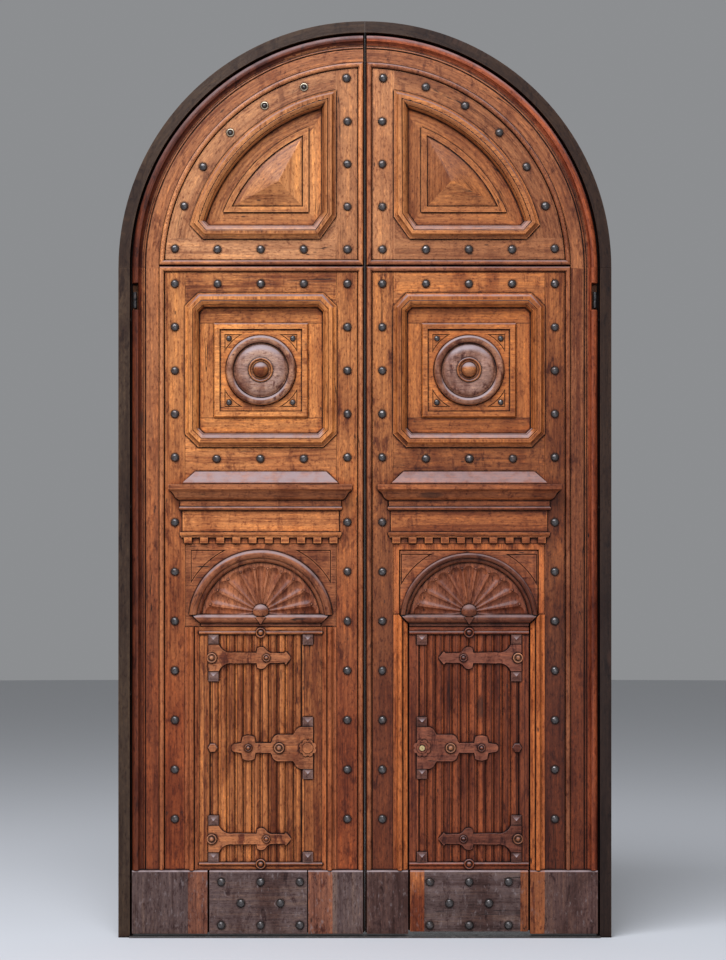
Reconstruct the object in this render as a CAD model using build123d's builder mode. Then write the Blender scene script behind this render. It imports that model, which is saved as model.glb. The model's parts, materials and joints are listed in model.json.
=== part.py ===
from build123d import *
from math import atan2, cos, degrees, radians, sin, sqrt, tan
import os

os.makedirs("parts", exist_ok=True)

# Millimetres: X across the doorway, Y into the building, Z up, origin on the floor at the centre line

# Doorway and the outline of the two leaves
leaf_radius = 1238.0
springing_z = 3560.0
jamb_gap = 12.0
floor_gap = 20.0
meeting_gap = 10.0
board_meeting_gap = 0.5
meeting_bevel = 2.5
bevel_land = 4.0
frame_width = 60.0
frame_front = -40.0
frame_back = 50.0
stop_gap = 3.0
stop_front = 22.0
stop_back = 48.0
threshold_thick = 8.0
threshold_front = -60.0
threshold_back = 95.0

# Layers of a leaf, from the back
board_thick = 40.0
framing_thick = 35.0
plank_count = 7
joint = 0.8

# Beads round the leaf and the seam at the springing
bead_width = 26.0
bead_groove = 4.0
seam_z = 3572.0
seam_gap = 8.0
border_inner = 1096.0
kick_top = 357.0

# Stiles, rails and the panel above the cornice
stile_width = 109.0
panel_mid = 554.0
panel_half = 403.0
panel_bottom = 2608.0
panel_top = 3427.0
corner_cut = 70.0
moulding_width = 72.0
moulding_rise = 32.0
field_step = 19.0

# Panel of the arched head
lunette_side = 155.0
lunette_bottom = 3716.0
lunette_radius = 958.0
lunette_cuts = ((84.0, 117.0), (69.0, 74.0))
fielded_inset = 146.0
fielded_rise = 42.0
pyramid_x = 460.0
pyramid_z = 4018.0

# Square frame and turned boss of the upper panel
square_size = 505.0
square_width = 32.0
square_rise = 14.0
rosette_z = 3018.0
rosette_radius = 183.0

# Cornice, frieze and dentils
frieze_half = 415.0
frieze_thick = 8.0
frieze_bottom = 2153.0
cornice_bottom = 2272.0
cornice_top = 2403.0
cornice_reach = 71.0
slope_top = 2477.0
slope_half = 410.0
slope_reach = 60.0
dentil_bottom = 2096.0
dentil_height = 31.0
dentil_width = 41.0
dentil_pitch = 86.0
dentil_count = 10

# Shell niche
fan_z = 1677.0
fan_outer = {"left": 383.0, "right": 362.0}
fan_roll_inner = 340.0
shell_radius = 319.0
shell_set_back = 9.0
scallop_radius = 300.0
boss_z = 1730.0
boss_radius = 40.0
flute_angle = 18.1
flute_count = 11
spandrel_top = {"left": 2061.0, "right": 2040.0}
spandrel_half = {"left": 373.0, "right": 362.0}
spandrel_radius = {"left": 425.0, "right": 411.0}
sill_bottom = 1650.0

# Lower panel: reeded boards between two rails
reed_first = {"left": 336.0, "right": 287.0}
reed_count = {"left": 11, "right": 12}
reed_pitch = 44.5
reed_rise = 8.0
panel_front = -22.0
lower_rail_top = 398.0
strip_width = 75.0
upper_rail_bottom = 1611.0

# Pass door in the right leaf
wicket_upper_half = 365.0
wicket_lower_half = 317.0
wicket_top = 2056.0
wicket_step_z = 1716.0
wicket_gap = 7.0
wicket_bottom = 32.0
wicket_lip = 15.0
wicket_board_gap = 4.0
wicket_board_proud = 2.0
wicket_seat_gap = 0.5
wicket_planks = 4

# Carved straps and blocks
strap_thick = 12.0
block_size = 53.0
block_height = 20.0
strap_root_outer = 832.0
strap_root_inner = 277.0
top_strap_z = 1486.0
middle_strap_z = 1007.0
bottom_strap_z = 523.0
gear_inset = 27.0
gear_thick = 8.0
kick_thick = 19.0

# Round-headed studs
stud_radius = 21.0
stud_height = 15.0

# Hinges: a strap with an eye that turns on a pintle
strap_iron = 6.0
eye_radius = 15.0
pin_radius = 9.0
pin_clearance = 0.05
eye_height = 50.0
eye_bed = 4.0
lift_gap = 0.3
hinge_bottoms = (250.0, 2200.0, 3384.0)
hinge_lengths = (230.0, 750.0, 750.0)
wicket_hinge_bottoms = (500.0, 1500.0)
wicket_strap_length = 360.0
hinge_notch = 35.0
hinge_notch_bottom = 3335.0
hinge_notch_top = 3480.0
pivot_offset = 2.0
wicket_pivot_offset = 8.0

# Bolts on the back
rod_radius = 9.0
rod_x = 75.0
rod_setback = 16.0
guide_size = 34.0
guide_width = 50.0
slide_fit = 0.06
gate_bolt_z = 1250.0

# Rim lock of the pass door
lock_width = 124.0
lock_height = 100.0
lock_depth = 28.0
lock_bolt_height = 26.0
lock_bolt_thick = 12.0
lock_fit = 0.3
lock_throw = 24.0
cylinder_radius = 14.0
cylinder_fit = 0.05
knob_shaft_radius = 8.0

# Holes for the anchors that hold the frame to the wall
anchor_radius = 6.5
anchor_head_radius = 15.0
anchor_head_depth = 20.0
anchor_heights = (300.0, 1300.0, 2300.0, 3300.0)

board_back = frame_back
board_front = board_back - board_thick
face_y = board_front - framing_thick
panel_face = face_y + field_step
shell_front = face_y + shell_set_back
opening_radius = leaf_radius + jamb_gap
frame_radius = opening_radius + frame_width
stop_radius = leaf_radius + stop_gap
bead_outer = border_inner - 2.0
stile_start = meeting_gap + bead_width + bead_groove
stile_end = bead_outer - bead_width - bead_groove
lunette_floor = seam_z + seam_gap / 2 + bead_width + bead_groove
framing_top = seam_z - seam_gap / 2 - bead_width - bead_groove
pivot_x = opening_radius + pivot_offset
pivot_y = board_back + strap_iron + eye_radius - eye_bed
wicket_back = board_back + wicket_board_proud
wicket_pivot_x = panel_mid + wicket_upper_half + wicket_lip + wicket_pivot_offset
wicket_pivot_y = wicket_back + strap_iron + eye_radius - eye_bed
kick_front = face_y - kick_thick
rod_y = board_back + rod_setback
gear_x = strap_root_inner + gear_inset
lower_panel_half = {"left": panel_half - strip_width - joint, "right": wicket_lower_half}


def at_y(y):
    """Upright plane at depth y, seen from the street."""
    return Plane.XZ.offset(-y)


def facing(x, y, z):
    """Plane at a point of the leaf's face, its normal towards the street."""
    return Plane(origin=(x, y, z), x_dir=(1, 0, 0), z_dir=(0, -1, 0))


def arch_z(radius, x):
    """Height of an arch of that radius at a distance x from the centre line."""
    return springing_z + sqrt(radius**2 - x**2)


def keep(piece, name):
    """Label one sub-part and write its file."""
    piece.label = name
    export_step(piece, f"parts/{name}.step")


def keep_pair(piece, name):
    """Write a piece of the right leaf and its mirror image on the left leaf."""
    keep(piece, f"right_{name}")
    keep(mirror(piece, about=Plane.YZ), f"left_{name}")


def keep_left(piece, name):
    """Write a piece drawn on the right as its mirror image on the left leaf."""
    keep(mirror(piece, about=Plane.YZ), name)


def leaf_outline(inner, bottom, radius):
    """Outline of a leaf: upright at the jamb, arched above the springing."""
    arch_end = degrees(atan2(sqrt(radius**2 - inner**2), inner))
    with BuildSketch(Plane.XY) as outline:
        with BuildLine():
            arch = CenterArc((0, springing_z), radius, 0, arch_end)
            Polyline(arch @ 1, (inner, bottom), (radius, bottom), arch @ 0)
        make_face()
    return outline.sketch


def lunette_curve(plane, side, bottom, radius, cuts=None):
    """Edges of a quarter-arch shape, with its two lower corners cut off if cuts are given."""
    inner_cut, outer_cut = cuts or ((0, 0), (0, 0))
    corner_z = bottom + outer_cut[1]
    corner_x = sqrt(radius**2 - (corner_z - springing_z) ** 2)
    start = degrees(atan2(corner_z - springing_z, corner_x))
    end = degrees(atan2(sqrt(radius**2 - side**2), side))
    corners = [(side, bottom)]
    if cuts:
        corners = [
            (side, bottom + inner_cut[1]), (side + inner_cut[0], bottom), (corner_x - outer_cut[0], bottom)
        ]
    with BuildLine(plane) as curve:
        arch = CenterArc((0, springing_z), radius, start, end - start)
        Polyline(arch @ 1, *corners, arch @ 0)
    return curve.line


def filled(curve):
    """Face inside a closed curve drawn on the level plane."""
    with BuildSketch(Plane.XY) as outline:
        make_face(curve.edges())
    return outline.sketch


def lunette_opening(plane):
    """Edges of the opening for the panel of the head."""
    return lunette_curve(plane, lunette_side, lunette_bottom, lunette_radius, lunette_cuts)


def cut_rectangle(plane, half_x, bottom, top, cut):
    """Closed outline of a rectangle on the panel's centre line with its corners cut at 45 degrees."""
    left = panel_mid - half_x
    right = panel_mid + half_x
    with BuildLine(plane) as curve:
        Polyline(
            (left, bottom + cut), (left + cut, bottom), (right - cut, bottom), (right, bottom + cut),
            (right, top - cut), (right - cut, top), (left + cut, top), (left, top - cut), close=True,
        )
    return curve.line


def wicket_outline(grow, bottom):
    """Outline of the pass door, wider above its step, moved outwards by grow."""
    upper = wicket_upper_half + grow
    lower = wicket_lower_half + grow
    step_top = wicket_step_z - grow * tan(radians(22.5))
    step_bottom = step_top - (wicket_upper_half - wicket_lower_half)
    top = wicket_top + grow
    with BuildSketch(Plane.XY) as outline:
        with BuildLine():
            Polyline(
                (panel_mid - upper, top), (panel_mid - upper, step_top), (panel_mid - lower, step_bottom),
                (panel_mid - lower, bottom), (panel_mid + lower, bottom), (panel_mid + lower, step_bottom),
                (panel_mid + upper, step_top), (panel_mid + upper, top), close=True,
            )
        make_face()
    return outline.sketch


def bolection_profile(width):
    """Section of a raised panel moulding: a fillet and cove outside, a broad ovolo inside."""
    lip_y = face_y - 8
    crest_y = face_y - moulding_rise
    cove_end = 22.0
    ovolo_start = 34.0
    ovolo_mid = (ovolo_start + 0.7 * (width - ovolo_start), crest_y + 12)
    with BuildSketch(Plane.XY) as section:
        with BuildLine():
            Polyline((0, board_front), (0, lip_y), (4, lip_y))
            ThreePointArc((4, lip_y), (cove_end - 5, lip_y - 7), (cove_end, crest_y))
            Line((cove_end, crest_y), (ovolo_start, crest_y))
            ThreePointArc((ovolo_start, crest_y), ovolo_mid, (width, panel_face - 6))
            Polyline((width, panel_face - 6), (width, board_front), (0, board_front))
        make_face()
    return section.sketch


def border_profile():
    """Section of the leaf's outer border: flat band, small bead, cove and bold outer roll."""
    band_y = face_y - 3
    quirk_y = face_y + 3
    crest_y = face_y - 21
    groove_x = border_inner + 67
    bead_x = groove_x + 6
    cove_x = bead_x + 10
    crest_x = cove_x + 25
    with BuildSketch(Plane.XY) as section:
        with BuildLine():
            Polyline(
                (border_inner, board_front), (border_inner, band_y), (groove_x, band_y),
                (groove_x + 2, quirk_y), (bead_x, quirk_y),
            )
            ThreePointArc((bead_x, quirk_y), (bead_x + 5, quirk_y - 5), (cove_x, quirk_y))
            ThreePointArc((cove_x, quirk_y), (cove_x + 17, quirk_y - 8), (crest_x, crest_y))
            ThreePointArc((crest_x, crest_y), (leaf_radius - 9, crest_y + 5), (leaf_radius, quirk_y))
            Polyline((leaf_radius, quirk_y), (leaf_radius, board_front), (border_inner, board_front))
        make_face()
    return section.sketch


def cap_arc(radius, base, rise):
    """Arc of a round cap, from its rim to its top, centred on the axis of turning."""
    curve = (radius**2 + rise**2) / (2 * rise)
    start = degrees(atan2(curve - rise, radius))
    return CenterArc((0, base + rise - curve), curve, start, 90 - start)


def bead_profile():
    """Section of a bead: straight sides with a half-round front."""
    half = bead_width / 2
    with BuildSketch(Plane.XY) as section:
        with BuildLine():
            Polyline((-half, face_y), (-half, board_front), (half, board_front), (half, face_y))
            ThreePointArc((half, face_y), (0, face_y - half), (-half, face_y))
        make_face()
    return section.sketch


def swept(profile, path, start):
    """Moulding run along a path in the face of the leaf, its section drawn level at start."""
    with BuildPart() as run:
        with BuildSketch(Plane(origin=start, x_dir=(1, 0, 0), z_dir=(0, 0, 1))):
            add(profile)
        sweep(path=path.wires()[0], transition=Transition.RIGHT)
    return run.part


def post():
    """Right-hand timber post with a stop behind the leaf's edge and counterbored holes for the wall anchors."""
    inner_face = Plane(origin=(opening_radius, 0, 0), x_dir=(0, 1, 0), z_dir=(-1, 0, 0))
    mid_y = (frame_front + frame_back) / 2
    stop_bottom = threshold_thick + joint
    with BuildPart() as timber:
        with BuildSketch(Plane.XY):
            with Locations(((opening_radius + frame_radius) / 2, mid_y)):
                Rectangle(frame_width, frame_back - frame_front)
        extrude(amount=springing_z - joint)
        with BuildSketch(Plane.XY.offset(stop_bottom)):
            with Locations(((stop_radius + opening_radius) / 2, (stop_front + stop_back) / 2)):
                Rectangle(opening_radius - stop_radius, stop_back - stop_front)
        extrude(amount=springing_z - joint - stop_bottom)
        with Locations(inner_face):
            with Locations(*[(mid_y, -height) for height in anchor_heights]):
                CounterBoreHole(anchor_radius, anchor_head_radius, anchor_head_depth, frame_width)
    return timber.part


def half_ring(inner, outer):
    """Half ring above the springing, parted at the crown."""
    with BuildSketch(Plane.XY) as ring:
        with Locations((0, springing_z)):
            Circle(outer)
            Circle(inner, mode=Mode.SUBTRACT)
            with Locations((0, -outer / 2)):
                Rectangle(2 * outer, outer, mode=Mode.SUBTRACT)
            with Locations((0, outer)):
                Rectangle(joint, outer, mode=Mode.SUBTRACT)
    return ring.sketch


def arch_head():
    """Arched head of the frame in two timbers that meet at the crown, with the stop behind the leaves."""
    with BuildPart() as head:
        with BuildSketch(at_y(frame_back)):
            add(half_ring(opening_radius, frame_radius))
        extrude(amount=frame_back - frame_front)
        with BuildSketch(at_y(stop_back)):
            add(half_ring(stop_radius, opening_radius))
        extrude(amount=stop_back - stop_front)
    return head.part


def threshold():
    """Iron sill plate between the posts, with a worn front edge and the floor bolt's hole."""
    nosing = 5.0
    bolt_clearance = 1.0
    with BuildPart() as plate:
        with BuildSketch(Plane.XY):
            with Locations((0, (threshold_front + threshold_back) / 2)):
                Rectangle(2 * opening_radius, threshold_back - threshold_front)
        extrude(amount=threshold_thick)
        chamfer(plate.edges().filter_by(Axis.X).group_by(Axis.Z)[-1].sort_by(Axis.Y)[0], nosing)
        with Locations((-rod_x, rod_y, threshold_thick)):
            Hole(rod_radius + bolt_clearance)
    return plate.part


def pintle(x, y, base_y, bottom, plate_start, plate_end):
    """Bracket with an upright pin under one hinge eye, its plate fixed to the surface at base_y."""
    lug_height = 30.0
    plate_thick = 6.0
    plate_height = 90.0
    pin_rise = 5.0
    lug_top = bottom - lift_gap
    lug_middle = lug_top - lug_height / 2
    pin_top = bottom + eye_height + pin_rise
    arm_end = y + eye_radius / 2
    with BuildPart() as bracket:
        with Locations(((plate_start + plate_end) / 2, base_y + plate_thick / 2, lug_middle)):
            Box(plate_end - plate_start, plate_thick, plate_height)
        with Locations(((x + plate_end) / 2, (base_y + arm_end) / 2, lug_middle)):
            Box(plate_end - x, arm_end - base_y, lug_height)
        with Locations((x, y, lug_middle)):
            Cylinder(eye_radius, lug_height)
        with BuildSketch(Plane.XY.offset(lug_top)):
            with Locations((x, y)):
                Circle(pin_radius)
        extrude(amount=pin_top - lug_top)
        with BuildSketch(Plane.XY.offset(pin_top)):
            with Locations((x, y)):
                Circle(pin_radius)
        extrude(amount=3, taper=45)
    return bracket.part


def frame_ironwork():
    """Pintles of both leaves on the back of the frame, and the keep at the crown."""
    plate_start = opening_radius + 15
    keep_bottom = arch_z(opening_radius, rod_x) + 8
    keep_height = 32.0
    keep_middle = keep_bottom + keep_height / 2
    right = [
        pintle(pivot_x, pivot_y, frame_back, bottom, plate_start, frame_radius)
        for bottom in hinge_bottoms
    ]
    left = [mirror(bracket, about=Plane.YZ) for bracket in right]
    with BuildPart() as ironwork:
        for bracket in right + left:
            add(bracket)
        with Locations((-rod_x, frame_back + 3, keep_middle)):
            Box(guide_width + 20, 6, keep_height)
        with Locations((-rod_x, frame_back + guide_size / 2, keep_middle)):
            Box(guide_size, guide_size, keep_height)
        with Locations((-rod_x, rod_y, keep_middle)):
            Cylinder(rod_radius + 1, keep_height, mode=Mode.SUBTRACT)
    return ironwork.part


def back_boards(has_wicket):
    """Upright planks at the back of a leaf, bevelled where the leaves meet and open for the pass door."""
    pitch = (leaf_radius - board_meeting_gap) / plank_count
    height = springing_z + leaf_radius
    outline = leaf_outline(board_meeting_gap, floor_gap, leaf_radius)
    opening = wicket_outline(wicket_lip + wicket_board_gap, 0)
    with BuildPart() as boards:
        with BuildSketch(at_y(board_back)):
            add(outline)
            if has_wicket:
                add(opening, mode=Mode.SUBTRACT)
            for i in range(1, plank_count):
                with Locations((board_meeting_gap + pitch * i, height / 2)):
                    Rectangle(joint, height, mode=Mode.SUBTRACT)
        extrude(amount=board_thick)
        with BuildSketch(Plane.XY):
            with BuildLine():
                Polyline(
                    (0, board_front), (board_meeting_gap + meeting_bevel, board_front),
                    (board_meeting_gap, board_back - bevel_land), (0, board_back - bevel_land), close=True,
                )
            make_face()
        extrude(amount=height, mode=Mode.SUBTRACT)
    return boards.part


def hinge_cut():
    """Notch in the border round the top hinge."""
    height = hinge_notch_top - hinge_notch_bottom
    with Locations((leaf_radius, 0, hinge_notch_bottom + height / 2)):
        Box(2 * hinge_notch, 4 * board_thick, height, mode=Mode.SUBTRACT)


def outer_border():
    """Moulded border along the jamb and round the arch, jointed at the springing."""
    section = border_profile()
    with BuildPart() as border:
        with BuildSketch(Plane.XY.offset(kick_top + joint)):
            add(section)
        extrude(amount=springing_z - kick_top - 2 * joint)
        with BuildSketch(Plane.XY.offset(springing_z)):
            add(section)
        revolve(axis=Axis((0, 0, springing_z), (0, -1, 0)), revolution_arc=90)
        with Locations((0, 0, springing_z + leaf_radius)):
            Box(2 * meeting_gap, 4 * framing_thick, leaf_radius, mode=Mode.SUBTRACT)
        hinge_cut()
    return border.part


def beads():
    """Half-round beads: one run round the lower part of the leaf, one round the arched head."""
    half = bead_width / 2
    inner_x = meeting_gap + half
    outer_x = bead_outer - half
    lower_z = seam_z - seam_gap / 2 - half
    upper_z = seam_z + seam_gap / 2 + half
    bottom = kick_top + joint
    with BuildLine(Plane.XZ) as lower:
        Polyline((inner_x, bottom), (inner_x, lower_z), (outer_x, lower_z), (outer_x, bottom))
    upper = lunette_curve(Plane.XZ, inner_x, upper_z, outer_x)
    section = bead_profile()
    lower_run = swept(section, lower.line, (inner_x, 0, bottom))
    upper_run = swept(section, upper, (inner_x, 0, springing_z + outer_x / 2))
    with BuildPart() as runs:
        add(lower_run)
        add(upper_run)
    return runs.part


def lunette_frame():
    """Stile, bottom rail and arched rail round the panel of the head."""
    outline = filled(lunette_curve(Plane.XY, stile_start, lunette_floor, stile_end))
    opening = filled(lunette_opening(Plane.XY))
    rail_reach = leaf_radius - lunette_radius + lunette_cuts[1][0]
    with BuildPart() as frame:
        with BuildSketch(at_y(board_front)):
            add(outline)
            add(opening, mode=Mode.SUBTRACT)
            with Locations((lunette_side, springing_z + leaf_radius / 2)):
                Rectangle(joint, 2 * leaf_radius, mode=Mode.SUBTRACT)
            with Locations((leaf_radius, lunette_bottom + joint)):
                Rectangle(2 * rail_reach, joint, mode=Mode.SUBTRACT)
        extrude(amount=framing_thick)
    return frame.part


def lunette_moulding():
    """Bolection moulding round the panel of the head."""
    middle = (lunette_side, 0, lunette_bottom + lunette_radius / 2)
    return swept(bolection_profile(moulding_width), lunette_opening(Plane.XZ), middle)


def lunette_panel():
    """Panel of the head: a flat field, a raised fillet and a low pyramid of three faces."""
    fillet_width = 28.0
    fillet_rise = 8.0
    side = lunette_side + fielded_inset
    bottom = lunette_bottom + fielded_inset
    radius = lunette_radius - fielded_inset
    field = offset(filled(lunette_opening(Plane.XY)), -moulding_width, kind=Kind.INTERSECTION)
    fillet = filled(lunette_curve(Plane.XY, side, bottom, radius))
    base = filled(
        lunette_curve(Plane.XY, side + fillet_width, bottom + fillet_width, radius - fillet_width)
    )
    with BuildPart() as panel:
        with BuildSketch(at_y(board_front)):
            add(field)
        extrude(amount=board_front - panel_face)
        with BuildSketch(at_y(panel_face)):
            add(fillet)
            add(base, mode=Mode.SUBTRACT)
        extrude(amount=fillet_rise)
        with BuildSketch(at_y(panel_face)) as foot:
            add(base)
        loft(sections=[foot.sketch.faces()[0], Vertex(pyramid_x, panel_face - fielded_rise, pyramid_z)])
    return panel.part


def framing():
    """Two stiles with the rails above and below the upper panel."""
    bottom = kick_top + joint
    opening = filled(cut_rectangle(Plane.XY, panel_half, panel_bottom, panel_top, corner_cut))
    with BuildPart() as timber:
        with BuildSketch(at_y(board_front)):
            with Locations(((stile_start + stile_end) / 2, (bottom + framing_top) / 2)):
                Rectangle(stile_end - stile_start, framing_top - bottom)
            add(opening, mode=Mode.SUBTRACT)
            with Locations((panel_mid, (dentil_bottom + bottom) / 2)):
                Rectangle(2 * panel_half, dentil_bottom - bottom, mode=Mode.SUBTRACT)
            for x in (panel_mid - panel_half, panel_mid + panel_half):
                with Locations((x, springing_z / 2)):
                    Rectangle(joint, 2 * springing_z, mode=Mode.SUBTRACT)
        extrude(amount=framing_thick)
    return timber.part


def panel_moulding():
    """Bolection moulding round the square upper panel, with cut corners."""
    path = cut_rectangle(Plane.XZ, panel_half, panel_bottom, panel_top, corner_cut)
    middle = (panel_mid - panel_half, 0, (panel_bottom + panel_top) / 2)
    return swept(bolection_profile(moulding_width), path, middle)


def corner_grooves(half, height, centre_z, radius):
    """Groove outlines in the corners of a rectangle outside a circle, up to height above its centre."""
    groove = 5.0
    with BuildSketch(Plane.XY) as corners:
        with Locations((panel_mid, centre_z + height / 2)):
            Rectangle(2 * half, height)
        with Locations((panel_mid, centre_z)):
            Circle(radius, mode=Mode.SUBTRACT)
    fields = [offset(face, -groove, kind=Kind.INTERSECTION) for face in corners.sketch.faces()]
    with BuildSketch(Plane.XY) as outlines:
        add(corners.sketch)
        for field in fields:
            add(field, mode=Mode.SUBTRACT)
    return outlines.sketch


def rosette_profile():
    """Half section of the turned boss: torus, hollow, convex dish, ring and knob."""
    seat = 3.0
    torus_inner = rosette_radius - 34
    dish_edge = torus_inner - 12
    dish_rise = seat + 20
    ring = 66.0
    knob = 40.0
    knob_rise = 34.0
    with BuildSketch(Plane.XY) as section:
        with BuildLine():
            Polyline((0, 0), (rosette_radius, 0), (rosette_radius, seat))
            ThreePointArc((rosette_radius, seat), (rosette_radius - 17, seat + 26), (torus_inner, seat + 4))
            Line((torus_inner, seat + 4), (dish_edge, seat + 4))
            ThreePointArc((dish_edge, seat + 4), ((dish_edge + ring) / 2, seat + 21), (ring, dish_rise))
            ThreePointArc((ring, dish_rise), (ring - 6, dish_rise + 6), (ring - 12, dish_rise))
            Line((ring - 12, dish_rise), (knob, dish_rise))
            cap_arc(knob, dish_rise, knob_rise)
            Line((0, dish_rise + knob_rise), (0, 0))
        make_face()
    return section.sketch


def upper_panel():
    """Panel with a raised square frame, grooved corner fields and the turned boss."""
    groove_depth = 3.0
    field_rise = 4.0
    groove_half = 194.0
    groove_radius = 216.0
    inner_size = square_size - 2 * square_width
    seat_y = panel_face - field_rise
    opening = filled(cut_rectangle(Plane.XY, panel_half, panel_bottom, panel_top, corner_cut))
    field = offset(opening, -moulding_width, kind=Kind.INTERSECTION)
    grooves = corner_grooves(groove_half, groove_half, rosette_z, groove_radius)
    boss = rosette_profile()
    centre = (panel_mid, seat_y, rosette_z)
    with BuildPart() as panel:
        with BuildSketch(at_y(board_front)):
            add(field)
        extrude(amount=board_front - panel_face)
        with BuildSketch(at_y(panel_face)):
            with Locations((panel_mid, rosette_z)):
                Rectangle(square_size, square_size)
        extrude(amount=square_rise, taper=30)
        with BuildSketch(at_y(panel_face - square_rise)):
            with Locations((panel_mid, rosette_z)):
                Rectangle(inner_size, inner_size)
        extrude(amount=field_rise - square_rise, mode=Mode.SUBTRACT)
        with BuildSketch(at_y(seat_y)):
            add(grooves)
            mirror(about=Plane.XZ.offset(-rosette_z))
        extrude(amount=-groove_depth, mode=Mode.SUBTRACT)
        with BuildSketch(Plane(origin=centre, x_dir=(1, 0, 0), z_dir=(0, 0, -1))):
            add(boss)
        revolve(axis=Axis(centre, (0, 1, 0)))
    return panel.part


def returned_moulding(profile, half, front_y):
    """Moulding that runs along the front at front_y and returns to the leaf at both ends."""
    left = panel_mid - half
    right = panel_mid + half
    with BuildPart() as run:
        with BuildLine(Plane.XY) as path:
            Polyline((left, face_y), (left, front_y), (right, front_y), (right, face_y))
        with BuildSketch(Plane(origin=(left, face_y, 0), x_dir=(-1, 0, 0), z_dir=(0, 1, 0))):
            add(profile)
        sweep(path=path.wires()[0], transition=Transition.RIGHT)
    return run.part


def cornice_profile():
    """Section of the cornice beyond the frieze: bead, fascia, cyma and top fillet."""
    bead = 9.0
    fascia = 11.0
    bead_top = cornice_bottom + 2 * bead
    fascia_top = bead_top + 35
    cyma_top = cornice_top - 28
    cyma_end = cornice_reach - 6
    middle_x = (fascia + cyma_end) / 2 + 4
    middle_z = (fascia_top + cyma_top) / 2
    with BuildSketch(Plane.XY) as section:
        with BuildLine():
            Line((0, cornice_bottom), (bead, cornice_bottom))
            ThreePointArc((bead, cornice_bottom), (2 * bead, cornice_bottom + bead), (bead, bead_top))
            Polyline((bead, bead_top), (fascia, bead_top + 2), (fascia, fascia_top))
            ThreePointArc((fascia, fascia_top), (middle_x - 10, middle_z - 15), (middle_x, middle_z))
            ThreePointArc((middle_x, middle_z), (middle_x + 10, middle_z + 15), (cyma_end, cyma_top))
            Polyline(
                (cyma_end, cyma_top), (cornice_reach, cyma_top + 3), (cornice_reach, cornice_top),
                (0, cornice_top), (0, cornice_bottom),
            )
        make_face()
    return section.sketch


def cornice():
    """Cornice with returned ends, and the sloping slab that lies on it."""
    frieze_face = face_y - frieze_thick
    slab_edge = 12.0
    slab_inset = 62.0
    slab_crown = 8.0
    run = returned_moulding(cornice_profile(), frieze_half, frieze_face)
    with BuildPart() as block:
        add(run)
        with Locations((panel_mid, (face_y + frieze_face) / 2, (cornice_bottom + cornice_top) / 2)):
            Box(2 * frieze_half, frieze_thick, cornice_top - cornice_bottom)
        with BuildSketch(Plane.XY.offset(cornice_top)):
            with Locations((panel_mid, face_y - slope_reach / 2)):
                Rectangle(2 * slope_half, slope_reach)
        extrude(amount=slab_edge)
        with BuildSketch(Plane.XY.offset(cornice_top + slab_edge)) as foot:
            with Locations((panel_mid, face_y - slope_reach / 2)):
                Rectangle(2 * slope_half, slope_reach)
        with BuildSketch(Plane.XY.offset(slope_top)) as crown:
            with Locations((panel_mid, face_y - slab_crown / 2)):
                Rectangle(2 * (slope_half - slab_inset), slab_crown)
        loft(sections=[foot.sketch.faces()[0], crown.sketch.faces()[0]])
    return block.part


def lower_cornice_profile():
    """Section of the small moulding under the frieze."""
    reach = 14.0
    fillet = 6.0
    bottom = dentil_bottom + dentil_height
    cove_foot = (reach - fillet, bottom + fillet)
    cove_top = (reach, frieze_bottom - fillet)
    with BuildSketch(Plane.XY) as section:
        with BuildLine():
            Polyline((0, bottom), (reach - fillet, bottom), cove_foot)
            ThreePointArc(cove_foot, (reach - 1, bottom + 2 * fillet), cove_top)
            Polyline(cove_top, (reach, frieze_bottom), (0, frieze_bottom), (0, bottom))
        make_face()
    return section.sketch


def frieze():
    """Frieze board with the small moulding and the row of dentils under it."""
    bottom = dentil_bottom + dentil_height
    dentil_depth = frieze_thick + 9
    run = returned_moulding(lower_cornice_profile(), frieze_half, face_y - frieze_thick)
    with BuildPart() as board:
        add(run)
        with Locations((panel_mid, face_y - frieze_thick / 2, (bottom + cornice_bottom) / 2)):
            Box(2 * frieze_half, frieze_thick, cornice_bottom - bottom)
        with Locations((panel_mid, face_y - dentil_depth / 2, dentil_bottom + dentil_height / 2)):
            with GridLocations(dentil_pitch, 1, dentil_count, 1):
                Box(dentil_width, dentil_depth, dentil_height)
    return board.part


def sill_outline():
    """Outline of the niche's sill, its ends cut like the step of the pass door."""
    step_bottom = wicket_step_z - (wicket_upper_half - wicket_lower_half)
    with BuildSketch(Plane.XY) as outline:
        with BuildLine():
            Polyline(
                (panel_mid - wicket_upper_half, wicket_step_z), (panel_mid - wicket_lower_half, step_bottom),
                (panel_mid - wicket_lower_half, sill_bottom), (panel_mid + wicket_lower_half, sill_bottom),
                (panel_mid + wicket_lower_half, step_bottom), (panel_mid + wicket_upper_half, wicket_step_z),
                close=True,
            )
        make_face()
    return outline.sketch


def spandrel_board(hand):
    """Board behind the niche's arch, with a grooved triangle in each upper corner."""
    groove_depth = 5.0
    half = panel_half - joint if hand == "left" else wicket_upper_half
    top = dentil_bottom - joint if hand == "left" else wicket_top
    bottom = sill_bottom if hand == "left" else wicket_step_z
    sill = sill_outline()
    grooves = corner_grooves(
        spandrel_half[hand], spandrel_top[hand] - fan_z, fan_z, spandrel_radius[hand]
    )
    with BuildPart() as board:
        with BuildSketch(at_y(board_front)):
            with Locations((panel_mid, (top + bottom) / 2)):
                Rectangle(2 * half, top - bottom)
        extrude(amount=board_front - panel_front)
        with BuildSketch(at_y(board_front)):
            with Locations((panel_mid, fan_z)):
                Circle(fan_outer[hand])
            with Locations((panel_mid, wicket_step_z - fan_outer[hand])):
                Rectangle(2 * fan_outer[hand], 2 * fan_outer[hand], mode=Mode.SUBTRACT)
            add(sill)
        extrude(amount=2 * framing_thick, mode=Mode.SUBTRACT)
        with BuildSketch(at_y(panel_front)):
            add(grooves)
        extrude(amount=-groove_depth, mode=Mode.SUBTRACT)
    return board.part


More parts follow.
